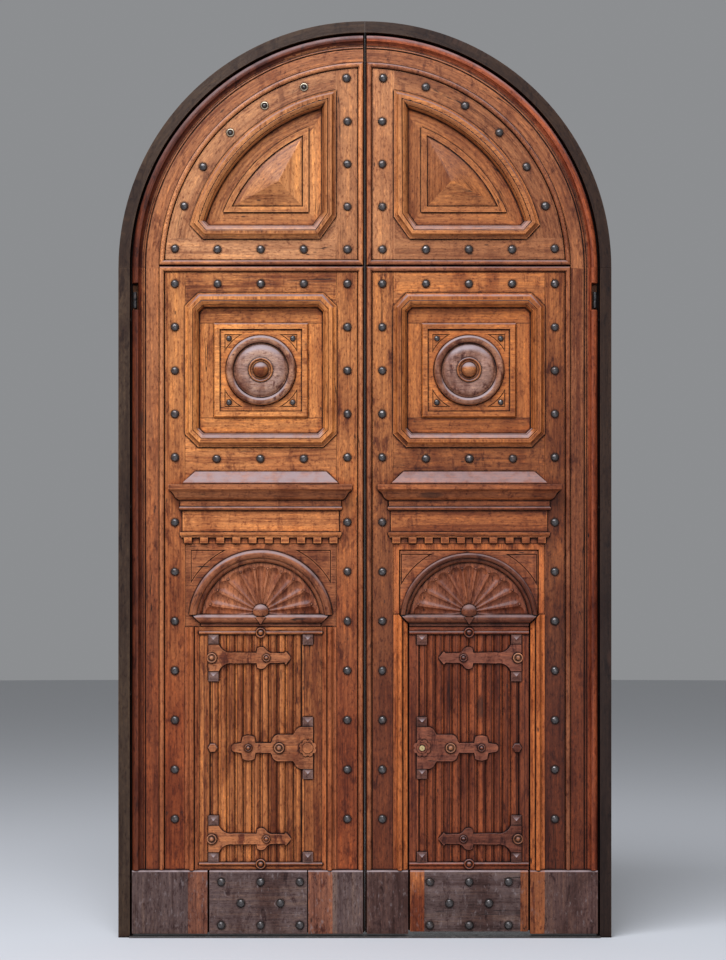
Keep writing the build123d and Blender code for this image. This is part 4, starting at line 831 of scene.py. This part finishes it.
class DoorWood(PropertyGroup):
    lunette: swatch("Lunette wood", "Wood of the lunette and its rails", (0.39, 0.170, 0.080))
    lunette_panel: swatch("Lunette panel", "Raised panels of the lunettes", (0.395, 0.155, 0.058))
    upper_frame: swatch("Upper framing", "Framing near the top of the door", (0.425, 0.162, 0.056))
    lower_frame: swatch("Lower framing", "Framing near the foot of the door", (0.25, 0.058, 0.018))
    # Painted shade: the right leaf's framing is a darker copy, as though that leaf lay in shade.
    right_upper_frame: swatch("Right upper framing", "Framing high on the right leaf", (0.37, 0.138, 0.048))
    right_lower_frame: swatch("Right lower framing", "Framing low on the right leaf", (0.155, 0.039, 0.0145))
    upper_border: swatch("Upper border", "Outer border round the arch", (0.28, 0.10, 0.04))
    lower_border: swatch("Lower border", "Outer border beside the leaves", (0.152, 0.035, 0.012))
    # Painted shadow: the left border's outer roll is darkened as though the wall beside it shaded it.
    left_rim: swatch("Left rim", "Dark outer roll of the left border", (0.090, 0.020, 0.008))
    right_rim: swatch("Right rim", "Red outer roll of the right border", (0.24, 0.056, 0.021))
    upper_bead: swatch("Upper beads", "Beads near the top of the door", (0.40, 0.155, 0.066))
    lower_bead: swatch("Lower beads", "Beads near the foot of the door", (0.27, 0.085, 0.035))
    # Painted shade: the right leaf's beads are a darker copy of the upper beads.
    dark_bead: swatch("Right beads", "Beads of the right leaf", (0.26, 0.092, 0.042))
    panel: swatch("Upper panel", "Panels that carry the rosettes", (0.42, 0.152, 0.048))
    cornice: swatch("Cornice", "Cornices with their blocks, and spandrels", (0.30, 0.10, 0.04))
    frieze: swatch("Frieze", "Boards under the cornices", (0.47, 0.165, 0.055))
    niche: swatch("Left niche", "Arch and sill of the left niche", (0.25, 0.085, 0.040))
    shell: swatch("Shells", "Fluted shells in the niches", (0.33, 0.118, 0.058))
    # Painted shade: the pass door's niche is a darker copy of the left one, as though it lay in shade.
    dark_niche: swatch("Pass door niche", "Arch and sill of the pass door's niche", (0.17, 0.058, 0.030))
    left_reeds: swatch("Left reeds", "Reeded panel of the left leaf", (0.36, 0.12, 0.038))
    right_reeds: swatch("Pass door reeds", "Reeded panel of the pass door", (0.175, 0.042, 0.015))
    left_strip: swatch("Left strips", "Fixed strips beside the left reeded panel", (0.27, 0.078, 0.028))
    right_strip: swatch("Right strips", "Fixed strips beside the pass door", (0.37, 0.105, 0.030))
    left_strap: swatch("Left straps", "Carved straps of the left leaf", (0.29, 0.10, 0.040))
    right_strap: swatch("Pass door straps", "Carved straps of the pass door", (0.165, 0.050, 0.028))
    left_block: swatch("Left blocks", "Square blocks on the left straps", (0.17, 0.095, 0.078))
    right_block: swatch("Pass door blocks", "Square blocks on the pass door's straps", (0.12, 0.048, 0.034))
    strap_rosette: swatch("Strap rosettes", "Turned rosettes on the straps", (0.33, 0.135, 0.065))
    # Partly painted reflection: the dishes' pale greyish mauve stands for the wood and for the sky reflected
    # on their varnish.
    rosette: swatch("Rosettes", "Pale dishes of the rosettes", (0.27, 0.155, 0.125))
    rosette_roll: swatch("Rosette rolls", "Outer rolls of the rosettes", (0.265, 0.125, 0.080))
    rosette_core: swatch("Rosette middles", "Bosses in the middle of the rosettes", (0.30, 0.115, 0.045))
    left_foot: swatch("Left kick boards", "Boards at the foot of the left leaf", (0.088, 0.054, 0.050))
    right_foot: swatch("Right kick boards", "Boards at the foot of the right leaf", (0.080, 0.040, 0.034))
    wicket_foot: swatch("Pass door kick board", "Board at the foot of the pass door", (0.092, 0.058, 0.054))
    orange_foot: swatch("Orange foot strips", "Strips by the pass door's kick board", (0.25, 0.078, 0.028))
    red_foot: swatch("Red foot strips", "Strips between the left kick boards", (0.155, 0.056, 0.034))
    back: swatch("Back boards", "Planks on the inner face", (0.20, 0.105, 0.058))
    jamb: swatch("Jamb", "Frame round the opening", (0.040, 0.022, 0.014))
    eased_edge: FloatProperty(
        name="Eased edge", description="Width of the rounding on board edges",
        default=0.0016, min=0.0, max=0.004, unit="LENGTH",
    )


class DoorIron(PropertyGroup):
    scale: swatch("Iron scale", "Dark skin of the forged iron", (0.022, 0.020, 0.021))
    bare: swatch("Rubbed iron", "Iron where the skin is rubbed", (0.27, 0.245, 0.235))
    rust: swatch("Rust", "Rust in the hollows", (0.11, 0.050, 0.030))
    steel: swatch("Bolt steel", "Sliding bolts and the lock", (0.40, 0.40, 0.41))
    cup: swatch("Cup metal", "Pale cups round three studs of the left arch", (0.42, 0.36, 0.26))
    brass: swatch("Brass", "Lock knob and cylinder", (0.55, 0.42, 0.20))


class DoorStage(PropertyGroup):
    camera_distance: FloatProperty(
        name="Camera distance", description="From the camera to the door's face", default=10.0, unit="LENGTH"
    )
    camera_height: FloatProperty(
        name="Camera height", description="Height of the camera above the ground", default=1.6, unit="LENGTH"
    )
    lens: FloatProperty(name="Lens", description="Focal length of the camera", default=70.5, unit="CAMERA")
    sky: swatch("Sky light", "Colour of the large soft light", (0.90, 0.93, 1.0))
    floor: swatch("Floor", "Colour of the floor", (0.62, 0.63, 0.65))


class DOOR_OT_lunettes(Operator):
    """Lunette frames, mouldings and raised panels"""

    bl_idname = "door.lunettes"
    bl_label = "Lunettes"

    def execute(self, context):
        wood = context.scene.door_wood
        frame_wood = wood_material("lunette_rail_wood", wood.lunette, 0.7, 0.42, 0.35)
        panel_wood = wood_material("lunette_panel_wood", wood.lunette_panel, 0.8, 0.35, 0.2)
        for leaf, side in SIDES.items():
            cuts = [((side * OPENING_SIDE, 0, 0), (1, 0, 0)), ((0, 0, OPENING_BOTTOM), (0, 0, 1))]
            cuts += arch_cuts(side)
            timber(leaf + "_lunette_frame", frame_wood, lunette_rails, wood.eased_edge, cuts)
        for name in both("lunette_moulding"):
            timber(name, panel_wood, moulding_runs, carve=inner_quirks(PYRAMID_X, PYRAMID_Z))
        for leaf, side in SIDES.items():
            timber(leaf + "_lunette_panel", panel_wood, lunette_fields, cuts=lunette_mitres(side))
        return {"FINISHED"}


class DOOR_OT_border(Operator):
    """Outer border and beads"""

    bl_idname = "door.border"
    bl_label = "Border and beads"

    def execute(self, context):
        wood = context.scene.door_wood
        border_wood = wood_material(
            "border_wood", wood.upper_border, 1.0, 0.6, bleached=0.3, lower=wood.lower_border
        )
        # Painted shadow on the left border's outer roll.
        left_rim = wood_material("left_rim_wood", wood.left_rim, 1.0, 0.9, bleached=0.0)
        right_rim = wood_material("right_rim_wood", wood.right_rim, 1.0, 0.6, bleached=0.0)
        bead_wood = wood_material("bead_wood", wood.upper_bead, 0.8, 0.4, bleached=0.5, lower=wood.lower_bead)
        # Painted shade: a darker copy of the beads for the right leaf.
        dark_bead_wood = wood_material("dark_bead_wood", wood.dark_bead, 0.8, 0.6, bleached=0.5)
        for leaf, rim_wood in (("left", left_rim), ("right", right_rim)):
            made = timber(leaf + "_border", border_wood, jamb_and_arch, cuts=arch_cuts(SIDES[leaf]))
            second_finish(made, rim_wood, on_rim)
        timber("left_beads", bead_wood, moulding_runs)
        timber("right_beads", dark_bead_wood, moulding_runs)
        return {"FINISHED"}


class DOOR_OT_upper_panels(Operator):
    """Framing, panel mouldings and the panels with rosettes"""

    bl_idname = "door.upper_panels"
    bl_label = "Framing and upper panels"

    def execute(self, context):
        wood = context.scene.door_wood
        frame_wood = wood_material("framing_wood", wood.upper_frame, 0.95, 0.6, lower=wood.lower_frame)
        panel_wood = wood_material("panel_wood", wood.panel, 0.85, 0.5, dust=0.8)
        # Painted shade: a darker copy of the framing for the right leaf.
        shaded_wood = wood_material(
            "right_framing_wood", wood.right_upper_frame, 0.95, 0.7, lower=wood.right_lower_frame
        )
        timber("left_framing", frame_wood, longest_way, wood.eased_edge)
        timber("right_framing", shaded_wood, longest_way, wood.eased_edge)
        for name in both("panel_moulding"):
            timber(name, panel_wood, moulding_runs, carve=inner_quirks(NICHE_X, ROSETTE_Z))
        # The rosettes take much dust and sheen: painted sky reflections on their dishes and rolls.
        rosette_wood = wood_material("rosette_wood", wood.rosette, 0.6, 0.9, 0.1, 2.2, bleached=0.6)
        roll_wood = wood_material("rosette_roll_wood", wood.rosette_roll, 0.6, 0.9, 0.1, 2.0, bleached=0.6)
        core_wood = wood_material("rosette_core_wood", wood.rosette_core, 0.6, 1.0, 0.3, 1.2, bleached=0.6)
        for leaf, side in SIDES.items():
            made = timber(leaf + "_upper_panel", panel_wood, square_panel, cuts=square_panel_cuts(side))
            second_finish(made, roll_wood, near_rosette(ROSETTE_ROLL))
            second_finish(made, rosette_wood, near_rosette(ROSETTE_DISH))
            second_finish(made, core_wood, near_rosette(ROSETTE_CORE))
        return {"FINISHED"}


class DOOR_OT_cornices(Operator):
    """Cornices with their blocks, and the friezes under them"""

    bl_idname = "door.cornices"
    bl_label = "Cornices"

    def execute(self, context):
        wood = context.scene.door_wood
        cornice_wood = wood_material("cornice_wood", wood.cornice, 0.9, 0.55, dust=0.9)
        frieze_wood = wood_material("frieze_wood", wood.frieze, 0.9, 0.5)
        # Painted shade: the right cornice has more patina and less dust and sheen, to look shaded.
        shaded_wood = wood_material("right_cornice_wood", wood.cornice, 0.9, 0.7, dust=0.6)
        timber("left_cornice", cornice_wood, level, wood.eased_edge)
        timber("right_cornice", shaded_wood, level, wood.eased_edge)
        for name in both("frieze"):
            timber(name, frieze_wood, level, wood.eased_edge)
        return {"FINISHED"}


class DOOR_OT_niches(Operator):
    """Shells, their arches and the boards round them"""

    bl_idname = "door.niches"
    bl_label = "Shell niches"

    def execute(self, context):
        wood = context.scene.door_wood
        niche_wood = wood_material("niche_wood", wood.niche, 0.8, 0.7, dust=0.85)
        # The shell's longer reach paints deeper shade into its flutes.
        shell_wood = wood_material("shell_wood", wood.shell, 0.8, 0.7, dust=0.35, reach=0.08)
        board_wood = wood_material("spandrel_wood", wood.cornice, 0.9, 0.6)
        # Painted shade: a darker copy of the niche wood for the pass door.
        dark_wood = wood_material("dark_niche_wood", wood.dark_niche, 0.8, 0.7, dust=0.45)
        for leaf, arch_wood in (("left", niche_wood), ("wicket", dark_wood)):
            timber(leaf + "_spandrel_board", board_wood, level, whole=False)
            timber(leaf + "_fan_frame", arch_wood, niche_arch)
            timber(leaf + "_shell_fan", shell_wood, upright)
        return {"FINISHED"}


class DOOR_OT_reeds(Operator):
    """Reeded panels, their rails and the strips beside them"""

    bl_idname = "door.reeds"
    bl_label = "Reeded panels"

    def execute(self, context):
        wood = context.scene.door_wood
        left_wood = wood_material("left_reed_wood", wood.left_reeds, 1.15, 0.6, 1.0, bleached=0.0)
        right_wood = wood_material("pass_door_reed_wood", wood.right_reeds, 1.1, 0.6, 0.6, bleached=0.0)
        for leaf, side, reed_wood in (("left", -1, left_wood), ("wicket", 1, right_wood)):
            first = FIRST_REED_X[leaf]
            timber(leaf + "_reeded_panel", reed_wood, reeds(first), cuts=reed_cuts(side, first))
            timber(leaf + "_panel_rails", reed_wood, level)
        for leaf, colour in (("left", wood.left_strip), ("right", wood.right_strip)):
            strip_wood = wood_material(leaf + "_strip_wood", colour, 1.0, 0.5, bleached=0.0)
            timber(leaf + "_surround", strip_wood, strips)
        return {"FINISHED"}


class DOOR_OT_straps(Operator):
    """Straps, blocks and the toothed rosette carved in wood"""

    bl_idname = "door.straps"
    bl_label = "Carved straps"

    def execute(self, context):
        wood = context.scene.door_wood
        carved = {"reach": 0.02, "bleached": 0.0}
        left_wood = wood_material("left_strap_wood", wood.left_strap, 0.8, 0.9, **carved)
        right_wood = wood_material("pass_door_strap_wood", wood.right_strap, 0.8, 0.8, **carved)
        rosette_wood = wood_material("strap_rosette_wood", wood.strap_rosette, 0.5, 0.4, 0.1, 0.3, **carved)
        blocks = (("left", left_wood, wood.left_block), ("wicket", right_wood, wood.right_block))
        for leaf, strap_wood, colour in blocks:
            made = timber(leaf + "_carved_straps", strap_wood, longest_way)
            second_finish(made, rosette_wood, on_strap_rosettes)
            # The blocks take much dust and sheen, which paints light on their tops.
            block_wood = wood_material(leaf + "_block_wood", colour, 0.6, 0.7, dust=1.6, **carved)
            second_finish(made, block_wood, on_strap_blocks)
        return {"FINISHED"}


class DOOR_OT_kick_boards(Operator):
    """Dark boards at the foot of the door"""

    bl_idname = "door.kick_boards"
    bl_label = "Kick boards"

    def execute(self, context):
        wood = context.scene.door_wood
        red_wood = wood_material(
            "red_foot_wood", wood.red_foot, 1.0, 0.8, 0.8, 1.0, bleached=0.0, scuffed=0.7
        )
        orange_wood = wood_material("orange_foot_wood", wood.orange_foot, 1.1, 1.0, bleached=0.0, scuffed=0.3)
        for name, colour, strip_wood, edges in (
            ("left_kick_boards", wood.left_foot, red_wood, (-0.940, -0.8316, -0.303, -0.172)),
            ("right_kick_boards", wood.right_foot, orange_wood, (0.870, 0.955)),
            ("wicket_kick_board", wood.wicket_foot, orange_wood, (0.230, 0.316, 0.826, 0.870)),
        ):
            foot_wood = wood_material(
                name + "_wood", colour, 0.9, 0.8, 0.8, 1.0, relief=0.0016, bleached=0.0, scuffed=0.55
            )
            cuts = [((edge, 0.0, 0.0), (1.0, 0.0, 0.0)) for edge in edges]
            made = timber(name, foot_wood, foot_boards, FOOT_EASE, cuts)
            second_finish(made, strip_wood, *[between(*span) for span in zip(edges[::2], edges[1::2])])
        return {"FINISHED"}


class DOOR_OT_frame_and_back(Operator):
    """Frame round the opening and the planks on the inner face"""

    bl_idname = "door.frame_and_back"
    bl_label = "Frame and back boards"

    def execute(self, context):
        wood = context.scene.door_wood
        back_wood = wood_material("back_wood", wood.back, 0.9, 0.5)
        jamb_wood = wood_material("jamb_wood", wood.jamb, 0.7, 0.6)
        for name in both("back_boards") + ["wicket_boards"]:
            timber(name, back_wood, longest_way, wood.eased_edge)
        for name in both("post"):
            timber(name, jamb_wood, upright, wood.eased_edge)
        timber("arch_head", jamb_wood, round_arch, wood.eased_edge)
        return {"FINISHED"}


def stud_template(rim=14):
    """A forged head 1 across its radius and 1 high, looking towards the front."""
    bm = bmesh.new()
    outline = ((1.0, 0.0), (1.0, 0.16), (0.93, 0.42), (0.76, 0.70), (0.48, 0.91), (0.20, 0.99))
    verts = [bm.verts.new((x, -y, 0.0)) for x, y in outline]
    edges = [bm.edges.new(pair) for pair in zip(verts, verts[1:])]
    bmesh.ops.spin(
        bm, geom=verts + edges, cent=(0, 0, 0), axis=(0, 1, 0), angle=2 * math.pi, steps=rim, use_merge=True
    )
    bmesh.ops.holes_fill(bm, edges=[e for e in bm.edges if e.is_boundary], sides=0)
    bmesh.ops.recalc_face_normals(bm, faces=bm.faces)
    mesh = bpy.data.meshes.new("stud_template")
    bm.to_mesh(mesh)
    bm.free()
    return mesh


def turned(bm, outline, centre, axis, steps=20):
    """Adds a closed ring or solid turned round an axis from points of radius and height."""
    start = [bm.verts.new(centre + Vector((radius, 0.0, 0.0)) + axis * height) for radius, height in outline]
    edges = [bm.edges.new(pair) for pair in zip(start, start[1:] + start[:1])]
    bmesh.ops.spin(
        bm, geom=start + edges, cent=centre, axis=axis, angle=2 * math.pi, steps=steps, use_merge=True
    )
    bmesh.ops.remove_doubles(bm, verts=bm.verts, dist=ON_PLANE)
    bmesh.ops.recalc_face_normals(bm, faces=bm.faces)


def stud_places(name):
    """Centre of the foot, radius and height of each stud in a node."""
    mesh = frame["nodes"][name].data
    groups = {}
    for face, label in zip(mesh.polygons, board_labels(mesh)):
        groups.setdefault(label, set()).update(face.vertices)
    places = []
    for label in sorted(groups):
        points = np.array([mesh.vertices[i].co for i in groups[label]])
        low, high = points.min(0), points.max(0)
        middle = Vector(((low[0] + high[0]) / 2, high[1], (low[2] + high[2]) / 2))
        places.append((middle, (high[0] - low[0]) / 2, high[1] - low[1]))
    return places


class DOOR_OT_studs(Operator):
    """Forged stud heads, no two quite alike"""

    bl_idname = "door.studs"
    bl_label = "Studs"

    def execute(self, context):
        iron = context.scene.door_iron
        material = metal_material("stud_iron", iron.bare, iron.scale, iron.rust, 0.82, 0.4)
        template = stud_template()
        cups = []
        for name in both("studs") + ["wicket_studs"]:
            draw = random.Random(name)
            bm = bmesh.new()
            for middle, radius, height in stud_places(name):
                if any(math.hypot(middle.x - x, middle.z - z) < CUP_REACH for x, z in CUPPED_STUDS):
                    cups.append(middle)
                    radius, height = radius * CUPPED_RADIUS, height * CUPPED_HEIGHT
                before = len(bm.verts)
                bm.from_mesh(template)
                bm.verts.ensure_lookup_table()
                added = bm.verts[before:]
                for vert in added:
                    dent = STUD_DENT if vert.co.y < -STUD_DENT else 0.0
                    vert.co += Vector([draw.uniform(-dent, dent) for _ in range(3)])
                squash = draw.uniform(0.93, 1.03)
                size = (radius * squash, height * draw.uniform(0.85, 1.0), radius)
                turn = Matrix.Rotation(draw.uniform(0, STUD_TURN), 3, "Y")
                bmesh.ops.scale(bm, vec=size, verts=added)
                bmesh.ops.rotate(bm, cent=(0, 0, 0), matrix=turn, verts=added)
                bmesh.ops.translate(bm, vec=middle, verts=added)
            made = finished_mesh(name + "_forged", bm, [material], smooth_angle=0.9)
            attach(made, body_of_node(name))
            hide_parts(name)
        bpy.data.meshes.remove(template)
        pale = metal_material("cup_metal", iron.cup, CUP_SCALE, iron.rust, 0.4, 0.2, 0.0003)
        bm = bmesh.new()
        for middle in cups:
            turned(bm, CUP_OUTLINE, middle, Vector((0.0, 1.0, 0.0)))
        made = finished_mesh("stud_cups", bm, [pale])
        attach(made, body_of_node("left_studs"))
        return {"FINISHED"}


class DOOR_OT_knuckles(Operator):
    """Hinge knuckles in the notches of the border"""

    bl_idname = "door.knuckles"
    bl_label = "Knuckles"

    def execute(self, context):
        iron = context.scene.door_iron
        material = metal_material("knuckle_iron", iron.bare, iron.scale, iron.rust, 0.95, 0.3)
        for leaf, side in SIDES.items():
            bm = bmesh.new()
            for bottom in KNUCKLE_BOTTOMS:
                foot = Vector((side * KNUCKLE_X, KNUCKLE_Y, bottom))
                turned(bm, KNUCKLE_OUTLINE, foot, Vector((0.0, 0.0, 1.0)))
            made = finished_mesh(leaf + "_knuckles", bm, [material])
            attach(made, body_of_node(leaf + "_border"))
        return {"FINISHED"}


class DOOR_OT_ironwork(Operator):
    """Hinges, keeps, bolts and the lock"""

    bl_idname = "door.ironwork"
    bl_label = "Ironwork"

    def execute(self, context):
        iron = context.scene.door_iron
        finishes = {
            "wrought_iron": metal_material("forged_iron", iron.bare, iron.scale, iron.rust, 0.9, 0.35),
            "steel": metal_material("bolt_steel", iron.steel, iron.scale, iron.rust, 0.25, 0.15, 0.0004),
            "brass": metal_material("handled_brass", iron.brass, BRASS_SCALE, iron.rust, 0.3, 0.05, 0.0003),
        }
        for item in frame["nodes"].values():
            slot = item.data.materials[0].name.split(".")[0]
            if slot in finishes and not item.hide_render:
                item.material_slots[0].material = finishes[slot]
        return {"FINISHED"}


def area_light(name, place, target, width, height, power, colour):
    """A large soft light that the camera doesn't see."""
    lamp = bpy.data.lights.new(name, "AREA")
    lamp.shape = "RECTANGLE"
    lamp.size, lamp.size_y, lamp.energy, lamp.color = width, height, power, colour
    made = bpy.data.objects.new(name, lamp)
    made.location = place
    made.rotation_euler = (Vector(target) - Vector(place)).to_track_quat("-Z", "Y").to_euler()
    made.visible_camera = False
    bpy.context.scene.collection.objects.link(made)


class DOOR_OT_stage(Operator):
    """Floor, light and camera"""

    bl_idname = "door.stage"
    bl_label = "Stage"

    def execute(self, context):
        scene, stage = context.scene, context.scene.door_stage
        bm = bmesh.new()
        bmesh.ops.create_circle(bm, cap_ends=True, radius=FLOOR_RADIUS, segments=64)
        floor = finished_mesh("floor", bm, [])
        material, tree, shader = bare_material("pale_floor")
        shader.inputs["Base Color"].default_value = (*stage.floor, 1.0)
        shader.inputs["Roughness"].default_value = 0.85
        floor.data.materials.append(material)
        world = bpy.data.worlds.new("studio")
        world.use_nodes = True
        background = world.node_tree.nodes["Background"]
        background.inputs["Color"].default_value = WORLD_COLOUR
        background.inputs["Strength"].default_value = WORLD_STRENGTH
        scene.world = world
        for light in LIGHTS:
            area_light(*light, stage.sky)
        camera = bpy.data.cameras.new("camera")
        camera.sensor_fit = "VERTICAL"
        camera.sensor_height = 36.0
        camera.lens = stage.lens
        camera.shift_y = CAMERA_SHIFT
        made = bpy.data.objects.new("camera", camera)
        made.location = (CAMERA_X, -stage.camera_distance - DOOR_FACE, stage.camera_height)
        made.rotation_euler = (math.radians(90), 0.0, 0.0)
        scene.collection.objects.link(made)
        scene.camera = made
        scene.view_settings.view_transform = "Standard"
        return {"FINISHED"}


STEPS = (
    DOOR_OT_lunettes,
    DOOR_OT_border,
    DOOR_OT_upper_panels,
    DOOR_OT_cornices,
    DOOR_OT_niches,
    DOOR_OT_reeds,
    DOOR_OT_straps,
    DOOR_OT_kick_boards,
    DOOR_OT_frame_and_back,
    DOOR_OT_studs,
    DOOR_OT_knuckles,
    DOOR_OT_ironwork,
    DOOR_OT_stage,
)


class DOOR_PT_panel(Panel):
    """Lists the door's settings and steps"""

    bl_idname = "DOOR_PT_panel"
    bl_label = "Arched door"
    bl_space_type = "VIEW_3D"
    bl_region_type = "UI"
    bl_category = "Door"

    def draw(self, context):
        for settings in (context.scene.door_wood, context.scene.door_iron, context.scene.door_stage):
            box = self.layout.box()
            for name in settings.__annotations__:
                box.prop(settings, name)
        for step in STEPS:
            self.layout.operator(step.bl_idname)


SETTINGS = {"door_wood": DoorWood, "door_iron": DoorIron, "door_stage": DoorStage}


def register():
    for item in (*SETTINGS.values(), *STEPS, DOOR_PT_panel):
        bpy.utils.register_class(item)
    for name, item in SETTINGS.items():
        setattr(bpy.types.Scene, name, PointerProperty(type=item))


def unregister():
    for name in SETTINGS:
        delattr(bpy.types.Scene, name)
    for item in (DOOR_PT_panel, *reversed(STEPS), *SETTINGS.values()):
        bpy.utils.unregister_class(item)


def main():
    register()
    for step in STEPS:
        group, name = step.bl_idname.split(".")
        getattr(getattr(bpy.ops, group), name)()


if __name__ == "__main__":
    main()
